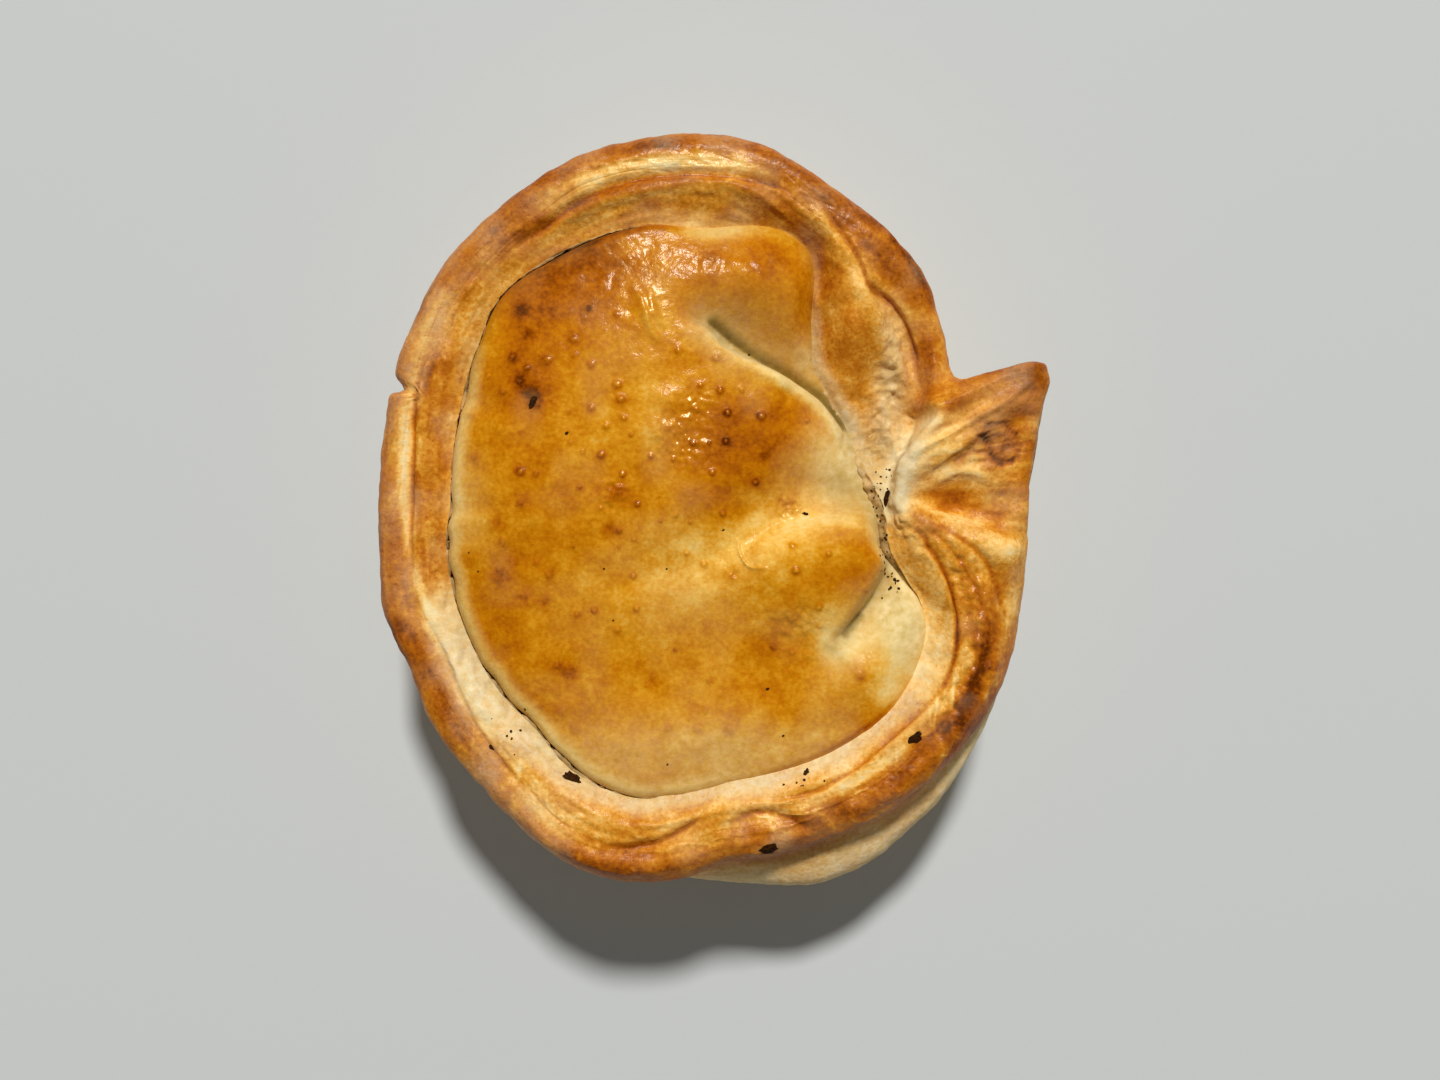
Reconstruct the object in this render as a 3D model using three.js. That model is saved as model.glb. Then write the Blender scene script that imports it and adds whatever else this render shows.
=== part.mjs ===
// A small hand-made savoury pie: a raised pastry case with a folded rim, its slack pinched into an ear,
// and a puffed pastry lid sunk inside the rim. Millimetres, +Z up, +Y towards the back of the pie.
import * as THREE from 'three';
import { mergeVertices } from 'three/addons/utils/BufferGeometryUtils.js';

// Driving dimensions. Angles are in degrees, anticlockwise from +X, round the middle of the pie.
const MIDDLE = [-3.38, 1.91]; // the middle, placed so that the pie's bounding box is centred on the origin
const RECESS_FLOOR = 22; // height of the case's inside floor, on which the lid lies
const SEAM_GAP = 0.5; // between the lid and the case
const BELLY_PULL = 0.45; // how far up the wall is drawn straight from its belly, as a share of its height
const LIP_PULL = 0.7; // how far the wall is drawn straight down under the lip, as a share of its rounding
const BASE_SHARE = 0.8; // the base's radius as a share of the belly's
const BASE_CORNER = 4; // rounding where the wall turns under
const GROOVE_SPREAD = 1.1; // half width of the groove between the rim's two layers
const LID_LEVEL = 36.6; // height of the lid between its lobes
const LID_LEAST = 3; // the lid's least thickness, at the bottom of a fold
const LID_UNDERSIDE = RECESS_FLOOR + SEAM_GAP;
const SEAM_FADE = 1.5; // distance from the seam over which the rim's strokes die out

// Outlines and heights round the pie, as [angle, millimetres]
const SEAM_RADIUS = [
  [-170, 39.9], [-150, 41.6], [-136, 43.1], [-125, 44], [-112, 47.3], [-101, 48.3], [-92, 46.7],
  [-80, 45], [-60, 45.8], [-48, 46.2], [-35, 44.5], [-28.5, 42.8], [-24, 40.4], [-20, 36.6],
  [-13, 32.5], [-4, 31.2], [5, 29.4], [18, 27.6], [31, 27.6], [45, 28.5], [55, 33.8], [65, 44.4],
  [72, 45.6], [88, 43.5], [100, 44.7], [130, 45.1], [145, 42.2], [163, 39.4], [180, 38.6],
];
const EDGE_RADIUS = [
  [-170, 51], [-160, 52.6], [-150, 52.7], [-140, 54.9], [-130, 56.1], [-120, 58.3], [-111, 61],
  [-103, 61.9], [-97, 61.8], [-90, 60.2], [-84, 58.4], [-76, 58.6], [-66, 58.8], [-56, 59.3],
  [-33, 58.7], [-17, 56.5], [-10, 55.2], [0, 54.6], [10.5, 56.8], [20.6, 60.7], [22, 58.6], [23, 53],
  [24, 48.2], [25.4, 47.4], [35, 49.8], [45, 52.9], [66, 55.6], [76, 58.1], [84, 59.5], [107, 59.3],
  [118, 57.7], [138, 55.4], [150, 53.3], [180, 50.5],
];
const BELLY_RADIUS = [
  [-164, 45.5], [-149, 46.5], [-134, 49], [-116, 53.5], [-107, 56], [-98, 59.4], [-87, 62.5],
  [-81, 63.9], [-75, 65.5], [-70, 66.7], [-66, 66.8], [-58, 65.4], [-48, 63.6], [-40, 61.9],
  [-30, 59.6], [-20, 57], [-10, 54], [5, 48.5], [28, 47], [49, 49], [84, 53], [118, 51], [150, 47.5],
  [180, 45],
];
// The height at which the wall bulges most
const BELLY_HEIGHT = [
  [-112, 18], [-95, 22], [-80, 25], [-40, 25], [-22, 22], [-8, 19], [5, 18], [90, 18], [180, 18],
];
const SEAM_HEIGHT = [
  [-165, 33.4], [-150, 33.6], [-120, 34], [-90, 34.4], [-60, 34], [-40, 33.6], [-22, 34.2], [-13, 35],
  [-4, 35.2], [3, 34.6], [9, 33], [15, 31.8], [20, 31.2], [50, 32], [70, 34.4], [100, 35.4],
  [130, 34.4], [150, 33.6], [180, 33.6],
];
const CREST_HEIGHT = [
  [-150, 35.6], [-120, 36.3], [-90, 37], [-60, 37], [-25, 36.8], [-10, 36.8], [10, 37], [20.6, 38],
  [22.4, 36.8], [24, 35.2], [26, 34.4], [35, 34.8], [50, 36.8], [85, 37.6], [110, 37], [140, 35.6],
  [180, 35],
];
// The rim's inner slope begins and ends this far out from the seam
const SLOPE_START = [
  [-4, 0], [3, 1.6], [10.5, 5.2], [16.6, 9.6], [20, 11], [22.5, 9.6], [25, 8.6], [28, 8], [32, 6.6],
  [40, 3], [50, 0], [90, 0], [180, 0],
];
const SLOPE_END = [
  [-150, 3.8], [-120, 4.2], [-90, 4.4], [-45, 4.6], [-25, 6.5], [-13, 6.5], [-4, 3], [3, 4.2],
  [10.5, 7.8], [16.6, 12.2], [20, 14.2], [22.5, 14.4], [25, 14.2], [32, 14.4], [40, 14.5], [50, 13],
  [60, 7.5], [67, 4.6], [90, 7.4], [120, 6.6], [150, 4.5], [180, 3.2],
];
const LIP_ROLL = [
  [-150, 3.5], [-90, 4.5], [-60, 4.5], [-33, 6], [-20, 8], [-10, 5], [5, 3], [22, 2.2], [30, 3.2],
  [66, 3.2], [90, 4.2], [180, 3.5],
];
// The groove between the rim's two layers: distance in from the outer edge, and depth
const GROOVE_INSET = [
  [-160, 6], [-148, 6.6], [-130, 6], [-103, 5.6], [-95, 7.2], [-89, 8.8], [-66, 8.6], [-52, 9.9],
  [-34, 8.7], [30, 6], [40, 6.9], [50, 8.9], [59, 6.1], [66, 5.1], [76, 5.4], [90, 6.5], [110, 7.3],
  [120, 7.3], [150, 5], [160, 5], [172, 5.9],
];
const GROOVE_DEPTH = [
  [-172, 0.6], [-160, 0.3], [-130, 0.25], [-108, 0.3], [-95, 0.7], [-80, 0.5], [-66, 0.4], [-52, 0.45],
  [-34, 0.3], [-26, 0], [26, 0], [34, 0.7], [50, 1], [64, 0.3], [76, 0.6], [104, 0.7], [124, 0.2],
  [146, 0.15], [160, 0.8], [172, 0.9],
];
// How far the lid's edge stands above the seam, before its rounding
const LID_LIFT = [
  [-165, 1.4], [-150, 1.4], [-120, 1.2], [-90, 0.6], [-60, 0.4], [-35, 0.2], [-28, 0.1], [-22, -0.2],
  [-16, -1.4], [-8, -2.2], [0, -2], [6, -1.2], [12, -0.5], [18, 0.05], [60, 0.05], [75, 0.4], [90, 0.8],
  [105, 1.8], [125, 2], [150, 1.6], [180, 1.4],
];
// Rounding of the lid's edge
const LID_ROLL = [
  [-165, 1.5], [-150, 1.5], [-120, 1.3], [-90, 0.6], [-60, 0.4], [-30, 0.3], [-14, 0.8], [-4, 0.6],
  [8, 0.05], [60, 0.05], [75, 0.4], [90, 0.8], [105, 2], [125, 2.4], [150, 1.8], [180, 1.5],
];
// The distance over which the lid climbs from its edge
const LID_SHOULDER = [
  [-165, 11], [-60, 11], [-42, 9], [-30, 6], [-16, 4.5], [-4, 4.5], [6, 7], [18, 11], [90, 11],
];

// Strokes raise or press the pastry along a path of [x, y, height] points, from the middle of the pie.
// left and right are the stroke's spread on either side of its direction of travel.
const CASE_STROKES = [
  {
    name: 'ear fold',
    path: [[32.7, 1.3, 0.8], [38, 6.5, 1.4], [44.5, 10.3, 1.5], [51, 15.5, 1]],
    left: 2, right: 2,
  },
  {
    name: 'ear dent',
    path: [[39, -0.5, -1.6], [42.5, -1, -2.4], [47, -2, -1.6]],
    left: 4, right: 3,
  },
  {
    name: 'ear lower pleat',
    path: [[34.6, -2, 0.6], [42.5, -6.5, 1.5], [51.5, -9, 1.2]],
    left: 2.2, right: 2.6,
  },
  {
    name: 'ear upper edge',
    path: [[34.6, 6, 0.5], [41, 14.5, 0.9], [47.5, 19.6, 0.9], [55, 21.3, 0.6]],
    left: 1.8, right: 2.4,
  },
  {
    name: 'rim tail',
    path: [[40.2, 25, 0.3], [39.4, 20, 0.9], [38.4, 16.4, 1], [36.8, 12.8, 0.4]],
    left: 1.8, right: 1.6,
  },
  {
    name: 'inner ridge',
    path: [[32.7, -1, 0.4], [35.7, -7.4, 0.6], [39.2, -10.6, 0.6], [42, -17.5, 0.6], [41.4, -24, 0.3]],
    left: 1.2, right: 1.2,
  },
  {
    name: 'outer ridge',
    path: [[34.8, -2.3, 0.4], [40.3, -8.4, 0.8], [44.8, -12.9, 1], [46.7, -18.5, 1], [46, -27, 0.5]],
    left: 1.6, right: 1.8,
  },
  {
    name: 'right lobe',
    path: [[24.4, 31, 1.4], [25.6, 25.5, 3], [25.4, 20, 2.8], [24.8, 16.5, 1.2]],
    left: 4.2, right: 3.8,
  },
  {
    name: 'strip edge',
    path: [[21, 44, 0.4], [26.5, 38, 1], [29, 32.5, 1], [31, 26, 0.6]],
    left: 2, right: 2,
  },
  {
    name: 'rim root',
    path: [[30, 33, -0.6], [34.6, 25, -1.6], [37.4, 17, -1.2]],
    left: 1.5, right: 1.5,
  },
];
const LID_STROKES = [
  {
    name: 'back fold',
    path: [
      [2.6, 27.4, -1.4], [7.6, 23.8, -4.6], [14.5, 20.4, -6],
      [20, 17, -5.8], [24.4, 12.2, -4.2], [26, 8.4, -2],
    ],
    left: 7, right: 3,
  },
  {
    name: 'front fold',
    path: [
      [22.8, -23.6, -0.7], [24.6, -21.4, -2.4], [27, -18.4, -3.6],
      [29.6, -15, -4], [31.4, -11.4, -3.6], [31.8, -8, -2.4],
    ],
    left: 2.8, right: 4.6,
  },
  {
    name: 'saddle',
    path: [[-12, -13.5, -0.4], [2, -9, -1.2], [14, -3.4, -2.8], [22, 0.4, -4.8], [29, 2, -5.6]],
    left: 6.5, right: 3.6,
  },
];
// Lobes puff the lid up: the top's place, height, two spreads, the first one's turn and how flat the top is
const LID_LOBES = [
  { name: 'main dome', at: [-9, 8], height: 3.4, spread: [33, 27], turn: 0, flatness: 3.2 },
  { name: 'back lobe', at: [8, 37], height: 1.2, spread: [13, 7], turn: 0, flatness: 2 },
  { name: 'front lobe', at: [20.5, -11.5], height: 2.4, spread: [11.5, 8], turn: 25, flatness: 3 },
];

// The pastry's colours and how rough it is
const CASE_LOOK = { color: 0xc68a3c, roughness: 0.55, metalness: 0 };
const LID_LOOK = { color: 0xc97f1c, roughness: 0.35, metalness: 0 };

// How finely the solids are faceted
const SEGMENTS = 132; // round the pie
const EAR_ANGLE = 10; // the segments crowd together towards the ear
const EAR_CROWDING = 0.4;
const FLOOR_RINGS = 1;
const SEAM_RINGS = 1;
const LEDGE_RINGS = 2;
const SLOPE_RINGS = 5;
const CROWN_RINGS = 7;
const LIP_RINGS = 4;
const WALL_RINGS = 5;
const FOOT_RINGS = 4;
const BASE_RINGS = 1;
const LID_RINGS = 18;
const LID_EDGE_RINGS = 3;
const LID_ROUND = 30; // radius that the lid's inner rings grow towards
const LID_FLAT = 0.94; // share of the way out at which the lid's rings crowd together towards its edge
const LEDGE_LEAST = 0.8; // the narrowest ledge inside the rim's slope
const SLOPE_LEAST = 1; // the narrowest slope, and the least crown between it and the lip
const WELD = 1e-3; // points nearer to each other than this become one
const TINY = 1e-6; // keeps a division by a distance safe
const STROKE_STEPS = 20;

const { clamp, lerp, degToRad: radians } = THREE.MathUtils;
const smooth = (value, low, high) => THREE.MathUtils.smoothstep(value, low, high);
const bell = (distance, spread) => Math.exp(-((distance / spread) ** 2));
const quarterRound = (share) => 1 - Math.sqrt(1 - clamp(1 - share, 0, 1) ** 2);

// The value of a table of [angle, value] pairs at an angle, by a smooth closed curve that never overshoots
function around(table, angle) {
  const count = table.length;
  const knot = (index) => {
    const turns = Math.floor(index / count);
    const [knotAngle, value] = table[index - turns * count];
    return [knotAngle + 360 * turns, value];
  };
  const wrapped = THREE.MathUtils.euclideanModulo(angle - table[0][0], 360) + table[0][0];
  let index = 0;
  while (knot(index + 1)[0] <= wrapped) index++;
  const rise = (i) => (knot(i + 1)[1] - knot(i)[1]) / (knot(i + 1)[0] - knot(i)[0]);
  const slope = (i) => {
    const [before, after] = [rise(i - 1), rise(i)];
    return before * after > 0 ? (2 * before * after) / (before + after) : 0;
  };
  const [start, low] = knot(index);
  const [end, high] = knot(index + 1);
  const span = end - start;
  const t = (wrapped - start) / span;
  const [t2, t3] = [t * t, t * t * t];
  return (2 * t3 - 3 * t2 + 1) * low + (t3 - 2 * t2 + t) * span * slope(index)
    + (3 * t2 - 2 * t3) * high + (t3 - t2) * span * slope(index + 1);
}

// A stroke's path as short straight steps, with its height as the third number
function pathOf(stroke) {
  const points = stroke.path.map((point) => new THREE.Vector3(...point));
  return { ...stroke, steps: new THREE.CatmullRomCurve3(points).getPoints(STROKE_STEPS) };
}

// How far a stroke lifts the point (x, y)
function lift(stroke, x, y) {
  let nearest = { distance: Infinity };
  for (let i = 0; i + 1 < stroke.steps.length; i++) {
    const [from, to] = [stroke.steps[i], stroke.steps[i + 1]];
    const [dx, dy] = [to.x - from.x, to.y - from.y];
    const length = Math.hypot(dx, dy);
    const t = clamp(((x - from.x) * dx + (y - from.y) * dy) / length ** 2, 0, 1);
    const [px, py] = [x - from.x - t * dx, y - from.y - t * dy];
    const distance = Math.hypot(px, py);
    if (distance < nearest.distance) {
      const side = (dx * py - dy * px) / (length * Math.max(distance, TINY));
      nearest = { distance, side, height: lerp(from.z, to.z, t) };
    }
  }
  const spread = lerp(stroke.right, stroke.left, (1 + nearest.side) / 2);
  return nearest.height * bell(nearest.distance, spread);
}

const caseStrokes = CASE_STROKES.map(pathOf);
const lidStrokes = LID_STROKES.map(pathOf);
const liftBy = (strokes, x, y) => strokes.reduce((sum, stroke) => sum + lift(stroke, x, y), 0);

function lobeHeight(lobe, x, y) {
  const turn = radians(lobe.turn);
  const [dx, dy] = [x - lobe.at[0], y - lobe.at[1]];
  const along = dx * Math.cos(turn) + dy * Math.sin(turn);
  const across = dy * Math.cos(turn) - dx * Math.sin(turn);
  const away = Math.hypot(along / lobe.spread[0], across / lobe.spread[1]);
  return lobe.height * Math.exp(-(away ** lobe.flatness));
}

// A point at a radius and height on the ray at an angle
function polar(angle, radius, height) {
  const turn = radians(angle);
  return [radius * Math.cos(turn), radius * Math.sin(turn), height];
}

// Radii at an angle where the rim's inner slope begins, where it ends, and where the outer lip begins
function rimMarks(angle) {
  const seam = around(SEAM_RADIUS, angle);
  const lip = around(EDGE_RADIUS, angle) - around(LIP_ROLL, angle);
  const head = Math.min(seam + around(SLOPE_END, angle), lip - SLOPE_LEAST);
  const foot = clamp(seam + around(SLOPE_START, angle), seam + LEDGE_LEAST, head - SLOPE_LEAST);
  return { seam, foot, head, lip };
}

// The top of the rim at a radius between the seam and the outer edge
function rimTop(angle, radius) {
  const seam = around(SEAM_RADIUS, angle);
  const edge = around(EDGE_RADIUS, angle);
  const low = around(SEAM_HEIGHT, angle);
  const high = around(CREST_HEIGHT, angle);
  const lip = around(LIP_ROLL, angle);
  const climb = smooth(radius - seam, around(SLOPE_START, angle), around(SLOPE_END, angle));
  const offGroove = edge - radius - around(GROOVE_INSET, angle);
  const groove = around(GROOVE_DEPTH, angle) * bell(offGroove, GROOVE_SPREAD);
  const [x, y] = polar(angle, radius, 0);
  const fade = smooth(edge - radius, 0, lip); // strokes die out at the lip and at the seam
  const strokes = liftBy(caseStrokes, x, y) * fade * smooth(radius - seam, 0, SEAM_FADE);
  const height = low + (high - low) * climb - lip * quarterRound((edge - radius) / lip) - groove + strokes;
  return [x, y, height];
}

// The wall, from under the lip (share 0) down to the belly (share 1)
function wallSide(angle, share) {
  const edge = around(EDGE_RADIUS, angle);
  const lip = around(LIP_ROLL, angle);
  const belly = around(BELLY_RADIUS, angle);
  const start = around(CREST_HEIGHT, angle) - lip;
  const low = around(BELLY_HEIGHT, angle);
  const curve = new THREE.CubicBezierCurve(
    new THREE.Vector2(edge, start),
    new THREE.Vector2(edge, start - LIP_PULL * lip),
    new THREE.Vector2(belly, lerp(low, start, BELLY_PULL)),
    new THREE.Vector2(belly, low),
  );
  const point = curve.getPoint(share);
  return polar(angle, point.x, point.y);
}

// The foot, from the belly (share 0) round the corner to the base (share 1)
function footSide(angle, share) {
  const belly = around(BELLY_RADIUS, angle);
  const base = belly * BASE_SHARE;
  const low = around(BELLY_HEIGHT, angle);
  const curve = new THREE.CubicBezierCurve(
    new THREE.Vector2(belly, low),
    new THREE.Vector2(belly, low / 2),
    new THREE.Vector2(base + BASE_CORNER, 0),
    new THREE.Vector2(base, 0),
  );
  const point = curve.getPoint(share);
  return polar(angle, point.x, point.y);
}

// The lid's top at a share of the way out: round in the middle, following the seam at the edge
function lidTop(angle, share) {
  const edge = around(SEAM_RADIUS, angle) - SEAM_GAP;
  const radius = share * lerp(LID_ROUND, edge, share ** 3);
  const [x, y] = polar(angle, radius, 0);
  const shoulder = around(SEAM_HEIGHT, angle) + around(LID_LIFT, angle);
  const lobes = LID_LOBES.reduce((sum, lobe) => sum + lobeHeight(lobe, x, y), 0);
  const middle = LID_LEVEL + lobes + liftBy(lidStrokes, x, y);
  const inward = clamp((edge - radius) / around(LID_SHOULDER, angle), 0, 1);
  const climb = inward * (2 - inward);
  const turned = around(LID_ROLL, angle);
  const roll = turned * quarterRound((edge - radius) / turned);
  const height = shoulder + (middle - shoulder) * climb - roll;
  return [x, y, Math.max(height, LID_UNDERSIDE + LID_LEAST)];
}

// Rings at even steps of a stretch of the surface, without the first, which the stretch before has made
function stretch(count, surface) {
  return Array.from({ length: count }, (_, i) => (angle) => surface(angle, (i + 1) / count));
}

const onFloor = (angle, share) => polar(angle, share * around(SEAM_RADIUS, angle), RECESS_FLOOR);
const upSeam = (angle, share) => {
  const top = rimTop(angle, around(SEAM_RADIUS, angle));
  return [top[0], top[1], lerp(RECESS_FLOOR, top[2], share)];
};
const overRim = (from, to) => (angle, share) => {
  const marks = rimMarks(angle);
  return rimTop(angle, lerp(marks[from], marks[to], share));
};
const overLip = (angle, share) => {
  const edge = around(EDGE_RADIUS, angle);
  return rimTop(angle, lerp(rimMarks(angle).lip, edge, Math.sin(share * Math.PI / 2)));
};
const underBase = (angle, share) => polar(angle, (1 - share) * BASE_SHARE * around(BELLY_RADIUS, angle), 0);
const caseRings = [
  (angle) => onFloor(angle, 0),
  ...stretch(FLOOR_RINGS, onFloor),
  ...stretch(SEAM_RINGS, upSeam),
  ...stretch(LEDGE_RINGS, overRim('seam', 'foot')),
  ...stretch(SLOPE_RINGS, overRim('foot', 'head')),
  ...stretch(CROWN_RINGS, overRim('head', 'lip')),
  ...stretch(LIP_RINGS, overLip),
  ...stretch(WALL_RINGS, wallSide),
  ...stretch(FOOT_RINGS, footSide),
  ...stretch(BASE_RINGS, underBase),
];

const downEdge = (angle, share) => {
  const top = lidTop(angle, 1);
  return [top[0], top[1], lerp(top[2], LID_UNDERSIDE, share)];
};
const underLid = (angle, share) => {
  const [x, y] = lidTop(angle, 1);
  return [x * (1 - share), y * (1 - share), LID_UNDERSIDE];
};
const lidEdge = (angle, share) => lidTop(angle, lerp(LID_FLAT, 1, Math.sin(share * Math.PI / 2)));
const lidRings = [
  (angle) => lidTop(angle, 0),
  ...stretch(LID_RINGS, (angle, share) => lidTop(angle, LID_FLAT * share)),
  ...stretch(LID_EDGE_RINGS, lidEdge),
  ...stretch(1, downEdge),
  ...stretch(BASE_RINGS, underLid),
];

// A closed skin: a sphere's grid with its rings laid along the given ones, from the top to the bottom pole
function closedSkin(rings) {
  const geometry = new THREE.SphereGeometry(1, SEGMENTS, rings.length - 1);
  const position = geometry.getAttribute('position');
  for (let ring = 0; ring < rings.length; ring++) {
    for (let step = 0; step <= SEGMENTS; step++) {
      const turn = (step % SEGMENTS) / SEGMENTS * 2 * Math.PI;
      const angle = EAR_ANGLE + THREE.MathUtils.radToDeg(turn - EAR_CROWDING * Math.sin(turn));
      position.setXYZ(ring * (SEGMENTS + 1) + step, ...rings[ring](angle));
    }
  }
  geometry.deleteAttribute('normal');
  geometry.deleteAttribute('uv');
  const skin = mergeVertices(geometry, WELD);
  skin.computeVertexNormals();
  return skin;
}

function pastry(name, rings, look) {
  const mesh = new THREE.Mesh(closedSkin(rings), new THREE.MeshStandardMaterial(look));
  mesh.name = name;
  return mesh;
}

const pie = new THREE.Group();
pie.add(pastry('pastry_case', caseRings, CASE_LOOK));
pie.add(pastry('pastry_lid', lidRings, LID_LOOK));
pie.position.set(MIDDLE[0], MIDDLE[1], 0);

export default pie;
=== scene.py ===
import math
from types import SimpleNamespace

import bpy
import numpy as np
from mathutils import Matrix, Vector


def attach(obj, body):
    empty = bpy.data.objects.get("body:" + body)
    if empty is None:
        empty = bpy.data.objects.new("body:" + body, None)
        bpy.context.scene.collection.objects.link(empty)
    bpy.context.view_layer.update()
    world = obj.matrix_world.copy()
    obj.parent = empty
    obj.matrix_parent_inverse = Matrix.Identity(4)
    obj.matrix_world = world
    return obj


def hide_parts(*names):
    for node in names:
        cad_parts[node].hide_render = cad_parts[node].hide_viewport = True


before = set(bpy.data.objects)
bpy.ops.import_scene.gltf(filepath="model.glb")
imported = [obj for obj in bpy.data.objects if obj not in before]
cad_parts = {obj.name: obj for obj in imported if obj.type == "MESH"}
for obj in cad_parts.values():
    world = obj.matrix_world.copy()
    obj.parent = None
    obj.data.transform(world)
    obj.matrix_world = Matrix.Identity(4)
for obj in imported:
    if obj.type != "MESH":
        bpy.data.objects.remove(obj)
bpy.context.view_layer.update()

# Driving dimensions in millimetres, as in the solids. Angles are in degrees round the middle of the pie.
MM = 0.001
MIDDLE = np.array([-3.38, 1.91, 0.0])
RECESS_FLOOR = 22
BELLY_PULL = 0.45
LIP_PULL = 0.7
BASE_SHARE = 0.8
BASE_CORNER = 4
LID_LEVEL = 36.6
LID_LEAST = 3
LID_ROUND = 30
LID_UNDERSIDE = RECESS_FLOOR + 0.5
SEAM_FADE = 1.5
SEAM_RISE = 0.2  # share of the seam's stretch
LIP_ROOM = 1

# Outlines and heights round the pie, as (angle, millimetres)
SEAM_RADIUS = [
    (-170, 39.9), (-150, 41.6), (-136, 43.1), (-125, 44), (-112, 47.3), (-101, 48.3), (-92, 46.7),
    (-80, 45), (-60, 45.8), (-48, 46.2), (-35, 44.5), (-28.5, 42.8), (-24, 40.4), (-20, 36.6),
    (-13, 32.5), (-4, 31.2), (5, 29.4), (18, 27.6), (31, 27.6), (45, 28.5), (55, 33.8), (65, 44.4),
    (72, 45.6), (88, 43.5), (100, 44.7), (130, 45.1), (145, 42.2), (163, 39.4), (180, 38.6),
]
EDGE_RADIUS = [
    (-170, 51), (-160, 52.6), (-150, 52.7), (-140, 54.9), (-130, 56.1), (-120, 58.3), (-111, 61),
    (-103, 61.9), (-97, 61.8), (-90, 60.2), (-84, 58.4), (-76, 58.6), (-66, 58.8), (-56, 59.3),
    (-33, 58.7), (-17, 56.5), (-10, 55.2), (0, 54.6), (10.5, 56.8), (20.6, 60.7), (22, 58.6),
    (23, 53), (24, 48.2), (25.4, 47.4), (35, 49.8), (45, 52.9), (66, 55.6), (76, 58.1), (84, 59.5),
    (107, 59.3), (118, 57.7), (138, 55.4), (150, 53.3), (180, 50.5),
]
BELLY_RADIUS = [
    (-164, 45.5), (-149, 46.5), (-134, 49), (-116, 53.5), (-107, 56), (-98, 59.4), (-87, 62.5),
    (-81, 63.9), (-75, 65.5), (-70, 66.7), (-66, 66.8), (-58, 65.4), (-48, 63.6), (-40, 61.9),
    (-30, 59.6), (-20, 57), (-10, 54), (5, 48.5), (28, 47), (49, 49), (84, 53), (118, 51), (150, 47.5),
    (180, 45),
]
BELLY_HEIGHT = [
    (-112, 18), (-95, 22), (-80, 25), (-40, 25), (-22, 22), (-8, 19), (5, 18), (90, 18), (180, 18),
]
SEAM_HEIGHT = [
    (-165, 33.4), (-150, 33.6), (-120, 34), (-90, 34.4), (-60, 34), (-40, 33.6), (-22, 34.2), (-13, 35),
    (-4, 35.2), (3, 34.6), (9, 33), (15, 31.8), (20, 31.2), (50, 32), (70, 34.4), (100, 35.4),
    (130, 34.4), (150, 33.6), (180, 33.6),
]
CREST_HEIGHT = [
    (-150, 35.6), (-120, 36.3), (-90, 37), (-60, 37), (-25, 36.8), (-10, 36.8), (10, 37), (20.6, 38),
    (22.4, 36.8), (24, 35.2), (26, 34.4), (35, 34.8), (50, 36.8), (85, 37.6), (110, 37), (140, 35.6),
    (180, 35),
]
SLOPE_START = [
    (-4, 0), (3, 1.6), (10.5, 5.2), (16.6, 9.6), (20, 11), (22.5, 9.6), (25, 8.6), (28, 8), (32, 6.6),
    (40, 3), (50, 0), (90, 0), (180, 0),
]
SLOPE_END = [
    (-150, 3.8), (-120, 4.2), (-90, 4.4), (-45, 4.6), (-25, 6.5), (-13, 6.5), (-4, 3), (3, 4.2),
    (10.5, 7.8), (16.6, 12.2), (20, 14.2), (22.5, 14.4), (25, 14.2), (32, 14.4), (40, 14.5), (50, 13),
    (60, 7.5), (67, 4.6), (90, 7.4), (120, 6.6), (150, 4.5), (180, 3.2),
]
LIP_ROLL = [
    (-150, 3.5), (-90, 4.5), (-60, 4.5), (-33, 6), (-20, 8), (-10, 5), (5, 3), (22, 2.2), (30, 3.2),
    (66, 3.2), (90, 4.2), (180, 3.5),
]
LID_LIFT = [
    (-165, 1.4), (-150, 1.4), (-120, 1.2), (-90, 0.6), (-60, 0.4), (-35, 0.2), (-28, 0.1), (-22, -0.2),
    (-16, -1.4), (-8, -2.2), (0, -2), (6, -1.2), (12, -0.5), (18, 0.05), (60, 0.05), (75, 0.4), (90, 0.8),
    (105, 1.8), (125, 2), (150, 1.6), (180, 1.4),
]
LID_ROLL = [
    (-165, 1.5), (-150, 1.5), (-120, 1.3), (-90, 0.6), (-60, 0.4), (-30, 0.3), (-14, 0.8), (-4, 0.6),
    (8, 0.05), (60, 0.05), (75, 0.4), (90, 0.8), (105, 2), (125, 2.4), (150, 1.8), (180, 1.5),
]
LID_SHOULDER = [
    (-165, 11), (-60, 11), (-42, 9), (-30, 6), (-16, 4.5), (-4, 4.5), (6, 7), (18, 11), (90, 11),
]
# The gap that shows between lid and case
SHOWN_GAP = [
    (-177, 0.45), (-174, 0.05), (-170, 0.6), (-166, 0.2), (-161, 0.65), (-156, 0.06), (-142, 0.05),
    (-137, 0.55), (-131, 0.2), (-126, 0.5), (-121, 0.3), (-115, 0.75), (-110, 0.3), (-104, 0.12),
    (-97, 0.03), (-88, -0.4), (-60, -0.5), (-27, -0.4), (-24, -0.2), (-20, 0.4), (-16, 0.9), (-12, 0.8),
    (-8, 0.9), (-4, 0.7), (-1, 0.7), (2, 0.2), (5, -0.1), (8, -0.3), (60, -0.5), (80, -0.4), (98, -0.2),
    (107, 0.1), (121, 0.4), (126, 0.06), (148, 0.05), (155.5, 0.65), (160, 0.06), (178, 0.1),
]
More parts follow.
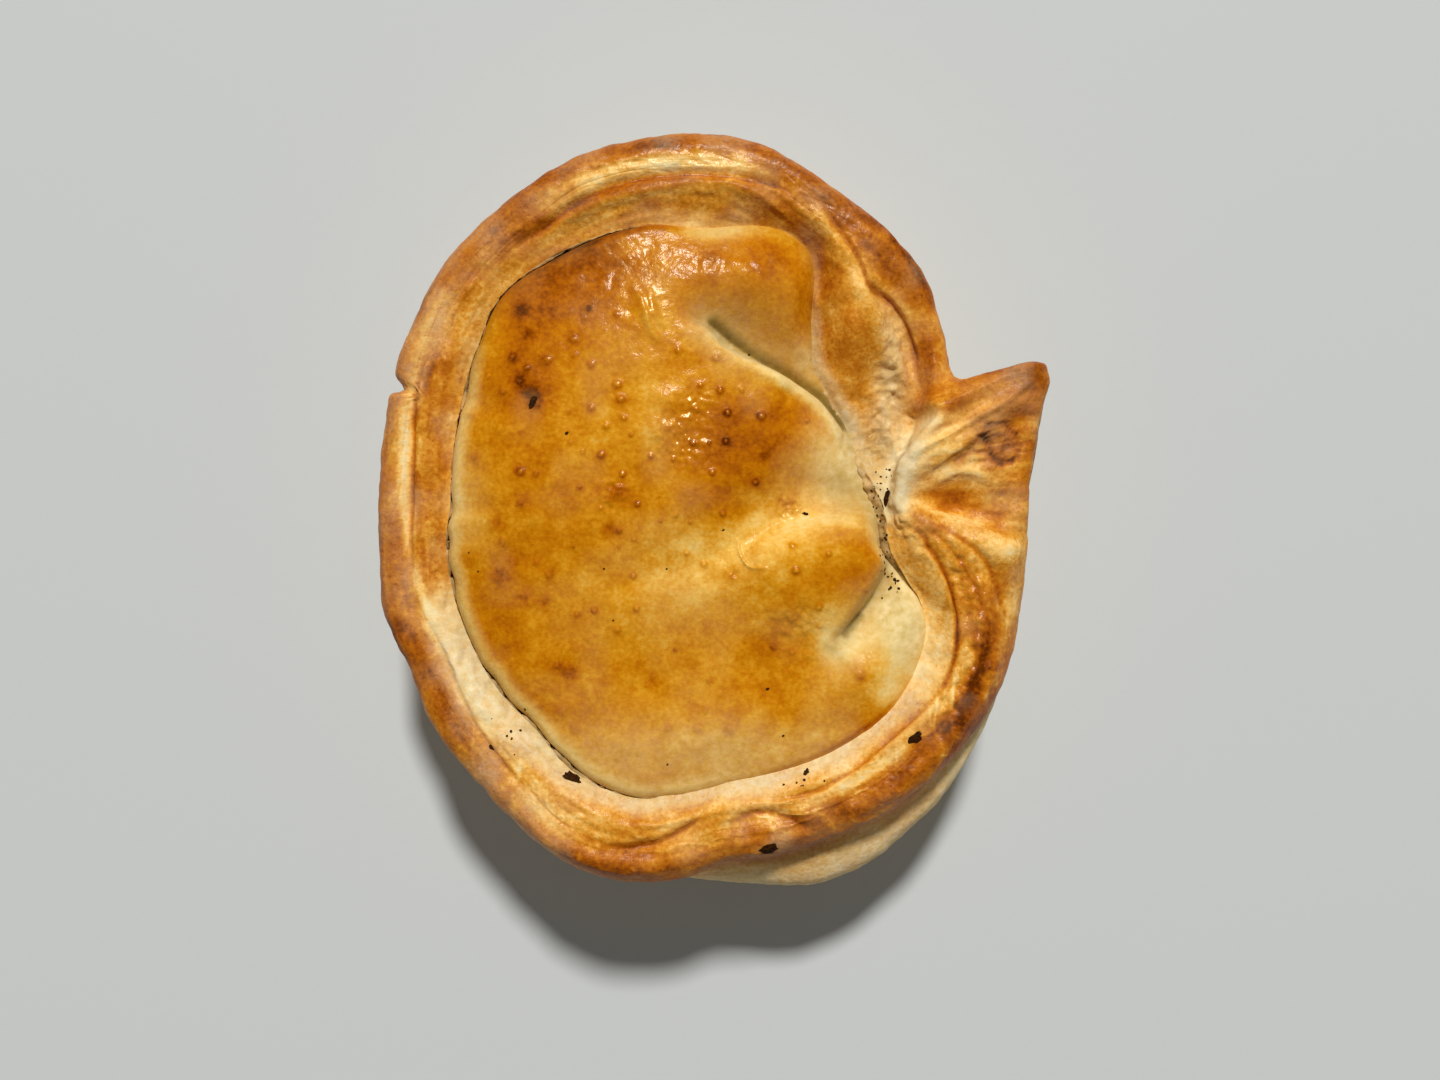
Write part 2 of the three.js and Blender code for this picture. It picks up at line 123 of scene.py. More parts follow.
# What stays open of a wide gap beside the case's crumbly ledge, how steeply it falls and how olive it is, as
# damp dough and painted shade in the gap
LEDGE_CLEAR = [
    (-180, 0.1), (-34, 0.1), (-27, -0.6), (-20, -1), (-8, -1.2), (2, -1.6), (10, -1.4), (16, -0.6),
    (22, 0.1), (120, 0.1),
]
LEDGE_DROP = [
    (-180, 0.9), (-34, 0.9), (-24, 0.8), (-16, 1.1), (-8, 1.3), (-2, 1.3), (6, 1.2), (12, 0.6), (18, 0.3),
    (30, 0.9), (120, 0.9),
]
LEDGE_DAMP_AND_SHADE = [
    (-180, 0.6), (-34, 0.6), (-20, 0.7), (-14, 0.6), (-5, 0.4), (0, 0.34), (5, 0.24), (16, 0.2),
    (30, 0.6), (120, 0.6),
]
# A notch in the rim's edge: where it is, its spread in degrees and its depth
NOTCH_ANGLE = 158.7
NOTCH_SPREAD = 1.1
NOTCH_DEPTH = 2.1

# Strokes raise or press the pastry: a path of (x, y, height) from the middle, and the spreads on its sides
EAR_FOLD = ([(32.7, 1.3, 0.8), (38, 6.5, 1.4), (44.5, 10.3, 1.5), (51, 15.5, 1)], 2, 2)
EAR_DENT = ([(39, -0.5, -1.6), (42.5, -1, -2.4), (47, -2, -1.6)], 4, 3)
EAR_PLEAT = ([(34.6, -2, 0.6), (42.5, -6.5, 1.5), (51.5, -9, 1.2)], 2.2, 2.6)
EAR_EDGE = ([(34.6, 6, 0.5), (41, 14.5, 0.9), (47.5, 19.6, 0.9), (55, 21.3, 0.6)], 1.8, 2.4)
RIM_TAIL = ([(40.2, 25, 0.3), (39.4, 20, 0.9), (38.4, 16.4, 1), (36.8, 12.8, 0.4)], 1.8, 1.6)
INNER_RIDGE = (
    [(32.7, -1, 0.4), (35.7, -7.4, 0.6), (39.2, -10.6, 0.6), (42, -17.5, 0.6),
     (41.4, -24, 0.3)], 1.2, 1.2,
)
OUTER_RIDGE = (
    [(34.8, -2.3, 0.4), (40.3, -8.4, 0.8), (44.8, -12.9, 1), (46.7, -18.5, 1), (46, -27, 0.5)], 1.6, 1.8,
)
RIGHT_LOBE = ([(24.4, 31, 1.4), (25.6, 25.5, 3), (25.4, 20, 2.8), (24.8, 16.5, 1.2)], 4.2, 3.8)
STRIP_EDGE = ([(21, 44, 0.4), (26.5, 38, 1), (29, 32.5, 1), (31, 26, 0.6)], 2, 2)
RIM_ROOT = ([(30, 33, -0.6), (34.6, 25, -1.6), (37.4, 17, -1.2)], 1.5, 1.5)
CASE_STROKES = [
    EAR_FOLD, EAR_DENT, EAR_PLEAT, EAR_EDGE, RIM_TAIL, INNER_RIDGE, OUTER_RIDGE, RIGHT_LOBE, STRIP_EDGE,
    RIM_ROOT,
]
BACK_FOLD = (
    [(2.6, 27.4, -1.4), (7.6, 23.8, -4.6), (14.5, 20.4, -6), (20, 17, -5.8), (24.4, 12.2, -4.2),
     (26, 8.4, -2)], 7, 0.9,
)
FRONT_FOLD = (
    [(22.8, -23.6, -0.7), (24.6, -21.4, -2.4), (27, -18.4, -3.6), (29.6, -15, -4), (31.4, -11.4, -3.6),
     (31.8, -8, -2.4)], 1, 4.6,
)
SADDLE = ([(-12, -13.5, -0.4), (2, -9, -1.2), (14, -3.4, -2.8), (22, 0.4, -4.8), (29, 2, -5.6)], 6.5, 3.6)
LID_STROKES = [BACK_FOLD, FRONT_FOLD, SADDLE]
# Lobes puff the lid up: (x, y) of the top, height, the two spreads, the turn and how flat the top is
LID_LOBES = [
    ((-9, 8), 3.4, (33, 27), 0, 3.2),
    ((8, 37), 1.2, (13, 7), 0, 2),
    ((20.5, -11.5), 2.4, (11.5, 8), 25, 3),
]

# Finer creases and swellings along the rim: a path of (angle, distance in from the edge, height), angles
# growing, and the spreads on its inner and outer side
RIM_CREASES = [
    ([(150, 4.3, -0.3), (154, 3.9, -0.8), (160, 4.2, -1.2), (166, 4.8, -1.4), (172, 5.1, -1.4),
      (180, 5.1, -1.3), (187, 5, -0.9), (194, 5.3, -0.5)], 0.4, 1.6),
    ([(72, 5, -0.5), (76, 5.6, -0.9), (80, 6.5, -1), (85, 6.9, -0.9), (91, 6.8, -1), (97, 6.8, -1.1),
      (104, 7.2, -1.1), (110, 7.5, -1), (117, 7.6, -0.6), (124, 7.2, -0.3)], 0.5, 1.1),
    ([(66, 8.8, 0.4), (75, 8, 0.6), (90, 8.4, 0.5), (105, 8.9, 0.5), (115, 8.8, 0.2)], 1.2, 0.9),
    ([(30, 5.5, -0.5), (35, 6, -0.8), (40, 6.5, -0.9), (45, 7.4, -1), (50, 8.5, -0.9), (54, 7.2, -0.8),
      (59, 5.6, -0.6), (64, 4.1, -0.3)], 1.3, 0.45),
    ([(201, 5.6, -0.2), (212, 6.2, -0.4), (221, 5.9, -0.35), (230, 5.3, -0.35), (239, 5, -0.2)],
     0.4, 0.9),
    ([(257, 5.4, -0.4), (261, 6.1, -0.9), (265, 6.9, -1.1), (268, 7.6, -1), (271.5, 8.8, -0.5)],
     0.7, 1.4),
    ([(276, 6, -0.2), (279, 7.2, -0.6), (282, 7.7, -0.9), (285.5, 7.1, -0.9), (288, 5.5, -0.7),
      (290, 3.4, -0.4)], 0.7, 1.4),
    ([(283, 9.9, -0.2), (288, 9.1, -0.5), (294, 8.6, -0.7), (300, 9.2, -0.7), (308, 9.8, -0.7),
      (316, 9.4, -0.6), (326, 8.4, -0.4)], 0.9, 0.4),
    ([(-47, 6.2, -0.3), (-36, 5.1, -0.5), (-28, 5.1, -0.6), (-22, 6.4, -0.6), (-17, 8.6, -0.6),
      (-12, 11.6, -0.5), (-8, 14.6, -0.3)], 0.9, 1.1),
    ([(242, 1.6, 0.5), (252, 2.4, 0.8), (261, 2.6, 0.6), (270, 3.4, 0.3)], 1.6, 1.2),
    ([(-62, 3.4, 0.5), (-50, 2.8, 0.8), (-38, 3, 0.8), (-26, 4, 0.6)], 1.6, 1.4),
]
# Finer folds of the ear and the strands beside it, as strokes from the middle
EAR_CREASES = [
    ([(33, 3.2, 0.4), (36.2, 7.2, 0.7), (42.7, 10.9, 0.8), (49.9, 15.3, 0.6), (53.9, 18.5, 0.3)],
     0.7, 0.45),
    ([(36.5, 3.6, 0.2), (42.7, 8.3, 0.5), (49, 12.2, 0.4)], 0.5, 0.4),
    ([(32.6, -0.5, 0.4), (33.6, 3, 0.8), (34.8, 6.4, 0.9), (37, 9.8, 0.8), (40, 13, 0.5)], 0.6, 1.2),
    ([(37.8, 1.6, 0.3), (41.9, 4.2, 0.6), (45.9, 3.9, 0.6), (48.8, 1.4, 0.3)], 1, 0.6),
    ([(35.7, -1.1, 0.5), (41, -3.2, 0.9), (47.5, -5.6, 0.8), (52.3, -7.7, 0.4)], 0.7, 1.6),
    ([(35.5, -4.5, -0.2), (38.3, -8.5, -0.5), (41.2, -13.5, -0.7), (42, -18.9, -0.7), (42, -24.2, -0.5),
      (40.2, -29.5, -0.3)], 0.6, 0.4),
    ([(39.5, -4.2, -0.3), (43.3, -6.6, -0.5), (46.7, -10, -0.6), (49, -14.5, -0.6), (50.4, -19, -0.4)],
     0.7, 0.5),
    ([(49.1, 2.1, -0.25), (50.6, -0.1, -0.25)], 0.3, 0.3),
    ([(50.4, 2.1, -0.25), (49, 0, -0.25)], 0.3, 0.3),
    ([(45.1, -1.2, -0.2), (48.5, -2.4, -0.3), (51, -2.2, -0.2)], 0.4, 0.6),
    ([(46, 10.2, -0.3), (46.8, 11.3, -0.45), (48.7, 11.9, -0.45), (50.6, 11.4, -0.5), (51.8, 10, -0.5),
      (52.2, 8.2, -0.4), (51.8, 6.8, -0.5), (50.6, 5.7, -0.5), (49.4, 5.6, -0.5), (48.2, 6.6, -0.5),
      (47.5, 8.4, -0.5), (46.4, 9.8, -0.3)], 0.4, 0.35),
    ([(41.5, 5.8, -0.2), (43, 6.4, -0.35), (44.7, 8, -0.35), (45.8, 9.4, -0.25)], 0.4, 0.35),
]

# The line along which the rim's creases and tones run, which passes the ear by
RIM_RADIUS = [
    (-170, 50.4), (-160, 52), (-150, 52.3), (-140, 53.6), (-130, 55.4), (-120, 57.6), (-111, 60.6),
    (-103, 61.7), (-97, 61.5), (-90, 59.9), (-84, 58.2), (-76, 58.6), (-66, 58.8), (-56, 59.2),
    (-33, 58.4), (-17, 55.6), (-10, 54.2), (0, 53.4), (12, 52), (20, 49), (26, 46.6), (35, 49.6),
    (45, 52.4), (66, 55.1), (76, 57.6), (84, 58.8), (107, 58.6), (118, 57), (138, 54.6), (150, 52.5),
    (180, 49.7),
]

# Where the case's inner edge is crumbly
CRUMBLY_EDGE = [
    (-165, 0.6), (-150, 0.5), (-135, 0.9), (-110, 0.9), (-95, 0.5), (-60, 0.3), (-20, 0.4), (0, 0.8),
    (30, 0.4), (70, 0.1), (140, 0.1), (155, 0.6), (180, 0.6),
]
# How browned the rim is round the pie, on its inner and outer layer: 0 is pale dough and 1 is scorched
INNER_BAKE = [
    (-172, 0.54), (-165, 0.58), (-155, 0.34), (-140, 0.24), (-125, 0.32), (-112, 0.38), (-105, 0.42),
    (-90, 0.46), (-75, 0.38), (-60, 0.36), (-45, 0.44), (-36, 0.22), (-30, 0.22), (-24, 0.36), (-16, 0.4),
    (-8, 0.36), (0, 0.22), (8, 0.26), (15, 0.34), (25, 0.4), (35, 0.36), (48, 0.38), (56, 0.5),
    (64, 0.58), (75, 0.48), (85, 0.44), (100, 0.42), (112, 0.5), (122, 0.6), (132, 0.44), (142, 0.44),
    (152, 0.52), (162, 0.58), (172, 0.54),
]
OUTER_BAKE = [
    (-170, 0.66), (-155, 0.66), (-140, 0.56), (-128, 0.5), (-115, 0.52), (-105, 0.63), (-95, 0.64),
    (-85, 0.64), (-75, 0.78), (-65, 0.64), (-55, 0.6), (-40, 0.72), (-30, 0.74), (-22, 0.6), (-15, 0.44),
    (-8, 0.42), (5, 0.48), (20, 0.5), (27, 0.44), (35, 0.48), (48, 0.6), (58, 0.72), (75, 0.7), (90, 0.7),
    (105, 0.62), (120, 0.68), (135, 0.6), (150, 0.62), (165, 0.55), (180, 0.54),
]
# How floury the outer layer is
OUTER_RAW = [
    (-165, 0.14), (-150, 0.02), (-135, 0.08), (-120, 0.2), (-105, 0.02), (-90, 0), (60, 0), (75, 0.06),
    (105, 0.06), (120, 0.04), (135, 0.12), (150, 0.2), (165, 0.14), (180, 0.1),
]
# How raw and floury the dough stayed at the foot of the rim's slope
SLOPE_RAW = [
    (-165, 0.12), (-155, 0.5), (-145, 0.75), (-120, 0.7), (-105, 0.6), (-90, 0.6), (-75, 0.8),
    (-60, 0.65), (-45, 0.6), (-36, 0.35), (-30, 0.1), (-24, 0), (-18, 0), (-12, 0), (-3, 0.4), (3, 0.5),
    (12, 0.3), (25, 0.5), (45, 0.5), (60, 0.1), (75, 0.1), (90, 0.15), (105, 0.1), (120, 0), (150, 0.1),
    (180, 0.1),
]
# How far out from the seam the rawness reaches
RAW_WIDTH = [
    (-165, 3), (-150, 6), (-135, 6), (-122, 4.5), (-110, 3), (-95, 2.6), (-75, 3), (-60, 3), (-50, 2.6),
    (-40, 3.4), (-28, 4), (-10, 2.5), (0, 2), (20, 3), (45, 3), (60, 3), (100, 3), (150, 2.5),
]
# How browned the lid's edge is
LID_EDGE_BAKE = [
    (-165, 0.12), (-140, 0.14), (-120, 0.12), (-90, 0.2), (-75, 0.35), (-60, 0.55), (-50, 0.45),
    (-43, 0.2), (-30, 0.1), (0, 0.05), (20, 0.1), (45, 0.35), (65, 0.5), (75, 0.3), (85, 0.1), (92, 0.3),
    (97, 0.75), (115, 0.85), (130, 0.7), (140, 0.45), (150, 0.2), (165, 0.1), (180, 0.08),
]
# How much browner a thin line along the lid's edge is
LID_EDGE_LINE = [
    (-80, 0), (-68, 0.15), (-56, 0.35), (-50, 0.35), (-45, 0.2), (-40, 0.05), (-30, 0), (80, 0),
    (96, 0.1), (115, 0.15), (135, 0),
]
# How damp and olive the dough stayed at the seam, and along the creases of the lid, with painted shade in
# the seam and the creases
SEAM_DAMP_AND_SHADE = [
    (-150, 0.24), (-120, 0.16), (-60, 0.1), (-35, 0), (-24, 0), (-15, 0.15), (-5, 0.15), (2, 0.06),
    (10, 0.12), (25, 0.2), (40, 0.25), (55, 0.2), (70, 0.2), (90, 0.15), (130, 0.2), (146, 0.3),
    (158, 0.1), (180, 0.05),
]
DAMP_AND_SHADE_LINES = [
    ([(3.4, 27.8, 0), (7, 25.2, 0), (11.4, 22.5, 0), (14.8, 20.7, 0), (18.2, 18.5, 0), (21, 16.6, 0),
      (23, 14.3, 0), (24.6, 12, 0)], 2, 0.4, 0.9),
    (BACK_FOLD[0], 5, 0.5, 0.35),
    (FRONT_FOLD[0], 0.5, 1.6, 0.3),
    (FRONT_FOLD[0][1:3], 0.7, 1.2, 0.75),
]
# Damp places beside the ear, with painted shade in its hollows: x and y from the middle, the two spreads and
# the amount
DAMP_AND_SHADE_DABS = [
    (29.5, 9, 4.5, 7, 0.2), (31, 9, 3, 4.5, 0.26), (33, 21, 3, 8, 0.14), (24.8, 1, 3.5, 3.5, 0.34),
    (20.5, 25, 2, 7, 0.12), (29, -0.5, 2.5, 2.5, 0.26),
]
# Browner and paler strokes along the rim, as (angle, distance in from the edge, amount)
RIM_TONES = [
    ([(158, 2.9, -0.25), (164, 3.3, -0.4), (172, 3.6, -0.48), (180, 3.9, -0.45), (187, 4.6, -0.4),
      (192, 5.3, -0.35), (198, 6.2, -0.3), (204, 7.2, -0.2)], 1, 1),
    ([(140, 3.2, -0.1), (148, 3.3, -0.18), (156, 3, -0.2)], 1.2, 1.2),
    # A pale band near the back lip: pale dough, and a painted highlight
    ([(78, 4.9, -0.15), (85, 4.9, -0.42), (92, 4.8, -0.5), (100, 4.8, -0.5), (107, 5, -0.44),
      (115, 5.1, -0.3)], 1.9, 1.7),
    ([(84, 12.5, 0.02), (95, 12.5, 0.04), (106, 12.5, 0.1), (116, 12, 0.16), (126, 11.6, 0.1)], 1.6, 1.6),
    ([(-42, 2, 0), (-34, 2.4, -0.1), (-26, 2.6, -0.25), (-18, 2.6, -0.3), (-10, 2.4, -0.2)], 2, 3),
    ([(50, 10.5, -0.2), (57, 8, -0.22), (65, 6, -0.15)], 2.5, 2),
    ([(279, 3.6, -0.12), (283, 5, -0.18), (287, 3.6, -0.12)], 1.5, 1.5),
    ([(290, 7.2, -0.15), (300, 7.6, -0.2), (310, 7.4, -0.15)], 0.8, 0.8),
    ([(238, 4.2, -0.12), (246, 4.5, -0.15), (254, 4.5, -0.1)], 1.5, 1.5),
    ([(203, 7.5, -0.12), (214, 7.5, -0.16), (228, 7.5, -0.14)], 2, 1.5),
    ([(150.5, 5.6, 0.2), (154, 5.2, 0.3), (158, 5.6, 0.15)], 1, 0.9),
    ([(70, 1.4, 0.08), (85, 1.4, 0.1), (100, 1.3, 0.1), (115, 1.4, 0.08)], 1.2, 2),
    ([(61, 11.5, 0.12), (64, 9, 0.2), (68, 7.8, 0.25), (74, 6.6, 0.25), (80, 6.8, 0.15)], 1.4, 1.2),
    ([(80, 7.6, 0.16), (88, 7.6, 0.24), (96, 7.6, 0.26), (105, 8, 0.26), (112, 8.1, 0.2), (120, 7.8, 0.1)],
     1.1, 0.8),
    ([(38, 0.7, 0.15), (45, 0.7, 0.3), (52, 0.7, 0.15)], 0.9, 1),
    ([(30, 3, 0.1), (40, 3.5, 0.12), (50, 4.5, 0.12), (58, 3, 0.06)], 2, 2),
    ([(-68, 4, 0.08), (-58, 3.8, 0.1), (-48, 4.6, 0.12), (-38, 5.4, 0.06)], 2, 1.6),
    ([(-80, 5, 0.08), (-60, 5, 0.1), (-45, 5, 0.14), (-30, 5, 0.15), (-22, 5, 0.05)], 1.8, 1.8),
    ([(249, 2.4, 0.1), (256, 2.6, 0.22), (262, 2.2, 0.12)], 1.3, 1.5),
    ([(196, 2, 0.08), (206, 2.6, 0.14), (216, 2.9, 0.12), (226, 2.6, 0.1), (236, 1.2, 0.08),
      (246, 0.6, 0.06)], 1.2, 1.4),
    ([(180, 7.4, 0.06), (188, 7.4, 0.1), (196, 7.4, 0.04)], 1.6, 1.6),
    ([(144, 7.4, 0.06), (150, 7.2, 0.16), (156, 7, 0.08)], 1.4, 1.3),
    ([(70, 5, -0.06), (76, 4.8, -0.1), (82, 4.6, -0.06)], 1.4, 1.2),
    ([(98, 9.4, -0.08), (108, 9.4, -0.1), (120, 9, -0.1), (130, 8.6, -0.05)], 1.3, 1.2),
    ([(110.5, 5, 0.1), (113, 5, 0.18), (116, 5.2, 0.1)], 0.9, 0.9),
    ([(140, 0.2, 0.12), (160, 0.2, 0.15), (180, 0.2, 0.15), (200, 0.2, 0.15), (215, 0.2, 0.12)],
     0.35, 0.6),
]
# Browner and paler strokes of the ear and the strands beside it, as (x, y, amount) from the middle
GLAZED_BAND = (
    [(34.6, -3.6, 0.06), (38.8, -5.9, 0.1), (42.4, -9.4, 0.06), (44.8, -13.6, 0.1), (45.9, -19, 0.22),
     (45.8, -24, 0.24), (43.8, -29, 0.14), (41.4, -33.2, 0.04)], 2.8, 2.4,
)
EAR_TONES = [
    GLAZED_BAND,
    ([(32.2, -2.2, -0.1), (34.2, -5, -0.1), (37, -8.6, -0.14), (39.2, -13, -0.16), (39.8, -18, -0.14),
      (39.6, -24, -0.12), (37, -29.5, -0.1), (33.3, -34.6, -0.05)], 1.6, 1.4),
    ([(35.5, -4.5, 0.1), (38.3, -8.5, 0.14), (41.2, -13.5, 0.2), (42.2, -18.9, 0.3), (42.2, -24.2, 0.3),
      (40.4, -29.5, 0.15)], 0.6, 0.5),
    # A pale edge along the ear's fold: pale dough, and painted light on its lit crest
    ([(31.9, -0.5, -0.2), (32.6, 3, -0.3), (33.4, 6, -0.3), (35.4, 9.6, -0.3), (38.6, 13.4, -0.2)],
     1.4, 1.2),
    ([(36, 8, -0.15), (42.4, 11.4, -0.16), (49.6, 15.8, -0.08)], 0.8, 0.6),
    ([(36, -0.6, -0.15), (40.5, -2.8, -0.2), (46, -4, -0.16)], 0.8, 0.8),
    ([(40.5, 16.4, 0.12), (45, 19.6, 0.22), (50, 20.8, 0.25), (55, 20.6, 0.2)], 2, 2),
    ([(38.4, 25, 0.25), (38.4, 20, 0.25), (37.6, 15, 0.2)], 1.6, 1.6),
]
# Scorched spots of the rim: x and y from the middle, and the radius
RIM_SCORCHES = [
    (-31.5, 43.3, 1.1), (-30, 41.8, 0.7), (47.3, 9.4, 0.9), (49.4, 6, 0.6), (39.5, -46.5, 0.8),
]
# Dabs of browning and of rawness: x and y from the middle, the two spreads and the two amounts. The pale raw
# dabs along the ear's root are partly painted light on its steep cream edge.
CASE_DABS = [
    (48.3, 8.9, 4.5, 3.5, 0.04, 0), (41.8, 0.2, 4.4, 2.4, 0.5, -0.2), (46.5, -12, 2.6, 3, -0.12, 0),
    (48, 9, 7, 9, 0.04, 0.14), (53, 17.5, 4, 4.5, 0.12, 0.12), (51.2, -12.6, 2, 3, 0.26, 0),
    (47, -1.5, 4, 2.5, 0.1, 0), (54, 20, 4, 4, 0.06, 0), (33.4, 2.8, 1.9, 3.6, -0.2, 0.8),
    (33.4, -0.8, 1.4, 2, -0.2, 0.5), (35, 7.6, 1.8, 2.8, -0.2, 0.7), (37.8, 12.2, 1.8, 2, -0.05, 0.4),
    (49, -8, 6, 2, -0.2, 0), (49, -14, 3, 3.5, 0.1, 0), (26, 24.6, 3, 5.5, 0.16, -0.9),
    (19.6, 27, 1.6, 6, -0.06, 0.15), (31.5, 11.5, 5, 6, -0.06, 0.4), (32.5, 22, 2.2, 8, -0.12, 0.45),
    (24.6, 12.5, 3, 3, 0, 0.3), (14.5, -53.6, 2.4, 3, -0.15, 0.35),
]
# Where thin pale flakes lift off the outer rim
FLAKY_RIM = [
    (-160, 0.4), (-140, 0.6), (-110, 0.7), (-90, 0.5), (-70, 0.9), (-35, 1), (-22, 0.8), (0, 0.2),
    (45, 0.3), (80, 0.5), (110, 0.4), (150, 0.5), (180, 0.5),
]
# Where the dough beside the ear is flaky: x and y from the middle, the two spreads and the amount
FLAKY_PLACES = [
    (31, 10.5, 4.5, 6, 1.2), (32.5, 21, 2, 8, 1),
]
# Dabs of browning and of rawness on the lid, in the same columns as the case's. The pale dabs on the dome's
# back, at (-6.4, 29) and (-5.6, 10), are painted highlight.
LID_DABS = [
    (-16.9, 32.2, 12, 8, 0.2, 0), (-14.5, 39, 14, 4, 0.1, 0), (10.5, 12, 9, 6, 0.2, 0),
    (7.2, 5.6, 8, 4, 0.12, 0), (-27.4, 16, 9, 12, 0.1, 0), (-24, 17, 3, 3, 0.15, 0),
    (-28, -14.5, 6, 8, 0.12, 0), (-28.7, -22.5, 3.5, 5, 0.12, 0), (16.1, -4.8, 10, 4.5, -0.3, 0),
    (1.6, -8, 9, 4, -0.18, 0), (24, 4, 5.5, 7, -0.3, 0.85), (25.8, -11.3, 5.5, 4, 0.2, 0),
    (17.7, -16, 7, 3.5, 0.1, 0), (-2, -15, 14, 6, -0.2, 0.1), (2, -41, 20, 6, -0.16, 0.42),
    (24.2, -32.2, 9, 5, 0.06, 0), (32.6, -19, 4.6, 5.6, -0.5, 0.9), (25.8, -21.7, 3, 2, -0.25, 0.4),
    (24.6, -24.2, 2.6, 1.6, -0.3, 0.4), (21.6, -22.2, 1.4, 2.4, -0.2, 0.3), (34.6, -20, 3.4, 5, 0, 0.5),
    (2, 27, 3, 3, -0.1, 0.3), (19, 22.5, 2.2, 3, -0.05, 0.4), (-24.4, 15.8, 1.1, 2, 0.24, 0),
    (16, 33.8, 5, 5, 0.1, 0), (7, 26.6, 5, 4, -0.12, 0.35), (11.3, 23, 6, 2, 0, 0.3),
    (-36.2, 0, 3.5, 14, -0.12, 0.12), (-14.5, 11.3, 7, 4, -0.08, 0), (-6.4, 17.7, 5, 3, -0.1, 0),
    (13.7, -24.2, 5, 6, 0.05, 0), (-16, 38.6, 6, 4, 0.18, 0), (-25.8, 38.6, 5, 5, 0.1, 0),
    (-6.4, 29, 4, 4, -0.1, 0), (-14, 9.7, 5, 5, -0.08, 0), (22.5, -19.3, 3, 4, -0.06, 0),
    (13, -19.3, 4, 4, -0.05, 0), (3, 38.6, 6, 5, 0.12, 0), (13, 38.6, 5, 5, 0.16, 0),
    (-25.8, 29, 6, 6, 0.1, 0), (-25.8, 19.3, 5, 5, 0.14, 0), (13, 19.3, 6, 4, -0.18, 0),
    (3, 0, 5, 4, 0.2, 0), (-25.8, -9.7, 5, 5, 0.08, 0), (-25.8, -19.3, 5, 5, -0.1, 0),
    (22.5, -19.3, 5, 4, -0.15, 0), (32.6, -28.8, 4, 5, -0.26, -0.3), (22.5, -28, 6, 5, -0.12, 0),
    (-35.4, -14, 4, 8, 0.06, -0.1), (33.8, -25.8, 2.4, 3, -0.2, 0.35),
    (31.6, -31.6, 2.4, 2.4, -0.25, 0.1), (11.3, -30.6, 3.5, 3, 0.1, 0), (0, -42, 6, 3, 0.1, -0.1),
    (-6.4, 29, 2.4, 3.4, -0.1, 0), (-5.6, 10, 3, 3, -0.12, 0),
]
# Browner and paler strokes of the lid, as (x, y, amount) from the middle
DOME_EDGE = (
    [(4, 26, -0.15), (7, 23.6, -0.3), (11.2, 21, -0.4), (14.6, 19, -0.45), (18, 17, -0.45),
     (20.8, 15, -0.45), (22.8, 12.6, -0.4), (24.4, 10, -0.3), (25, 7, -0.1)], 1, 1,
)
LOBE_EDGE = (
    [(31.2, -6, -0.2), (31, -9.8, -0.35), (29.6, -14, -0.4), (27, -18, -0.4),
     (24.6, -21.4, -0.35)], 0.8, 0.9,
)
LID_TONES = [
    DOME_EDGE,
    ([(8, -24, 0.04), (11.3, -22.5, 0.1), (15, -20.4, 0.06), (18.4, -18.4, -0.06), (22, -16.6, -0.1)],
     1.6, 2.4),
    ([(18.5, -6, 0.06), (21, -5.6, 0.18), (24.2, -6, 0.12), (26.6, -7.4, 0.04)], 1.4, 1.6),
    ([(24, -4, 0.08), (28, -6.4, 0.06), (29.4, -10, 0), (27.4, -14, -0.02), (24, -18.4, -0.1)], 2, 2.2),
    LOBE_EDGE,
    ([(15, -3.4, -0.1), (20, -3.2, -0.2), (25, -3.4, -0.2), (28.4, -4.8, -0.1)], 1, 1),
]
# Fine wrinkles of the lid, as strokes from the middle
LID_WRINKLES = [
    ([(7, 24, 0.3), (11.2, 21.4, 0.6), (14.6, 19.4, 0.7), (18, 17.4, 0.7), (20.8, 15.4, 0.7),
      (22.6, 13.2, 0.6), (24.2, 11, 0.4)], 0.5, 1.2),
    ([(7.6, -6.6, 0.1), (7.9, -8.6, 0.26), (9.4, -10.8, 0.28), (12, -11, 0.2)], 0.28, 0.28),
    ([(-9, 33.6, 0.2), (-7.4, 30.6, 0.4), (-6.4, 27.4, 0.4), (-5.2, 25, 0.2)], 0.6, 0.6),
    ([(-6.4, 32.6, 0.2), (-5.6, 29.6, 0.35), (-4.4, 27.2, 0.2)], 0.5, 0.5),
]
# Swellings and bubbly places of the lid: x and y from the middle, the two spreads and the height
LID_BUMPS = [
    (-4.6, 10.4, 3.2, 2.4, 0.5), (-3.6, 15.4, 3, 2, 0.4), (-6.6, 29.6, 2, 4, 0.4),
    (16, -1.2, 2.2, 1.8, 0.35), (-12, 0.9, 2, 1.7, 0.3),
]
BUBBLY_PLACES = [
    (4, 38, 5, 3.4, 0.24), (12, 37.5, 4, 3.4, 0.16), (-10, 39, 6, 3.2, 0.2), (-13, 35, 3, 3, 0.2),
    (-7, 29, 3, 4, 0.26), (-1, 9.4, 4, 4.4, 0.34), (1.4, 14.6, 2.2, 2, 0.3), (17, -19.6, 5, 3, 0.34),
    (16.9, -25.8, 4, 4, 0.16), (15.6, -1.4, 1.9, 1.7, 0.75), (-12, 0.9, 2.2, 2, 0.5),
    (-25, 16.2, 1.6, 1.6, 0.4),
]
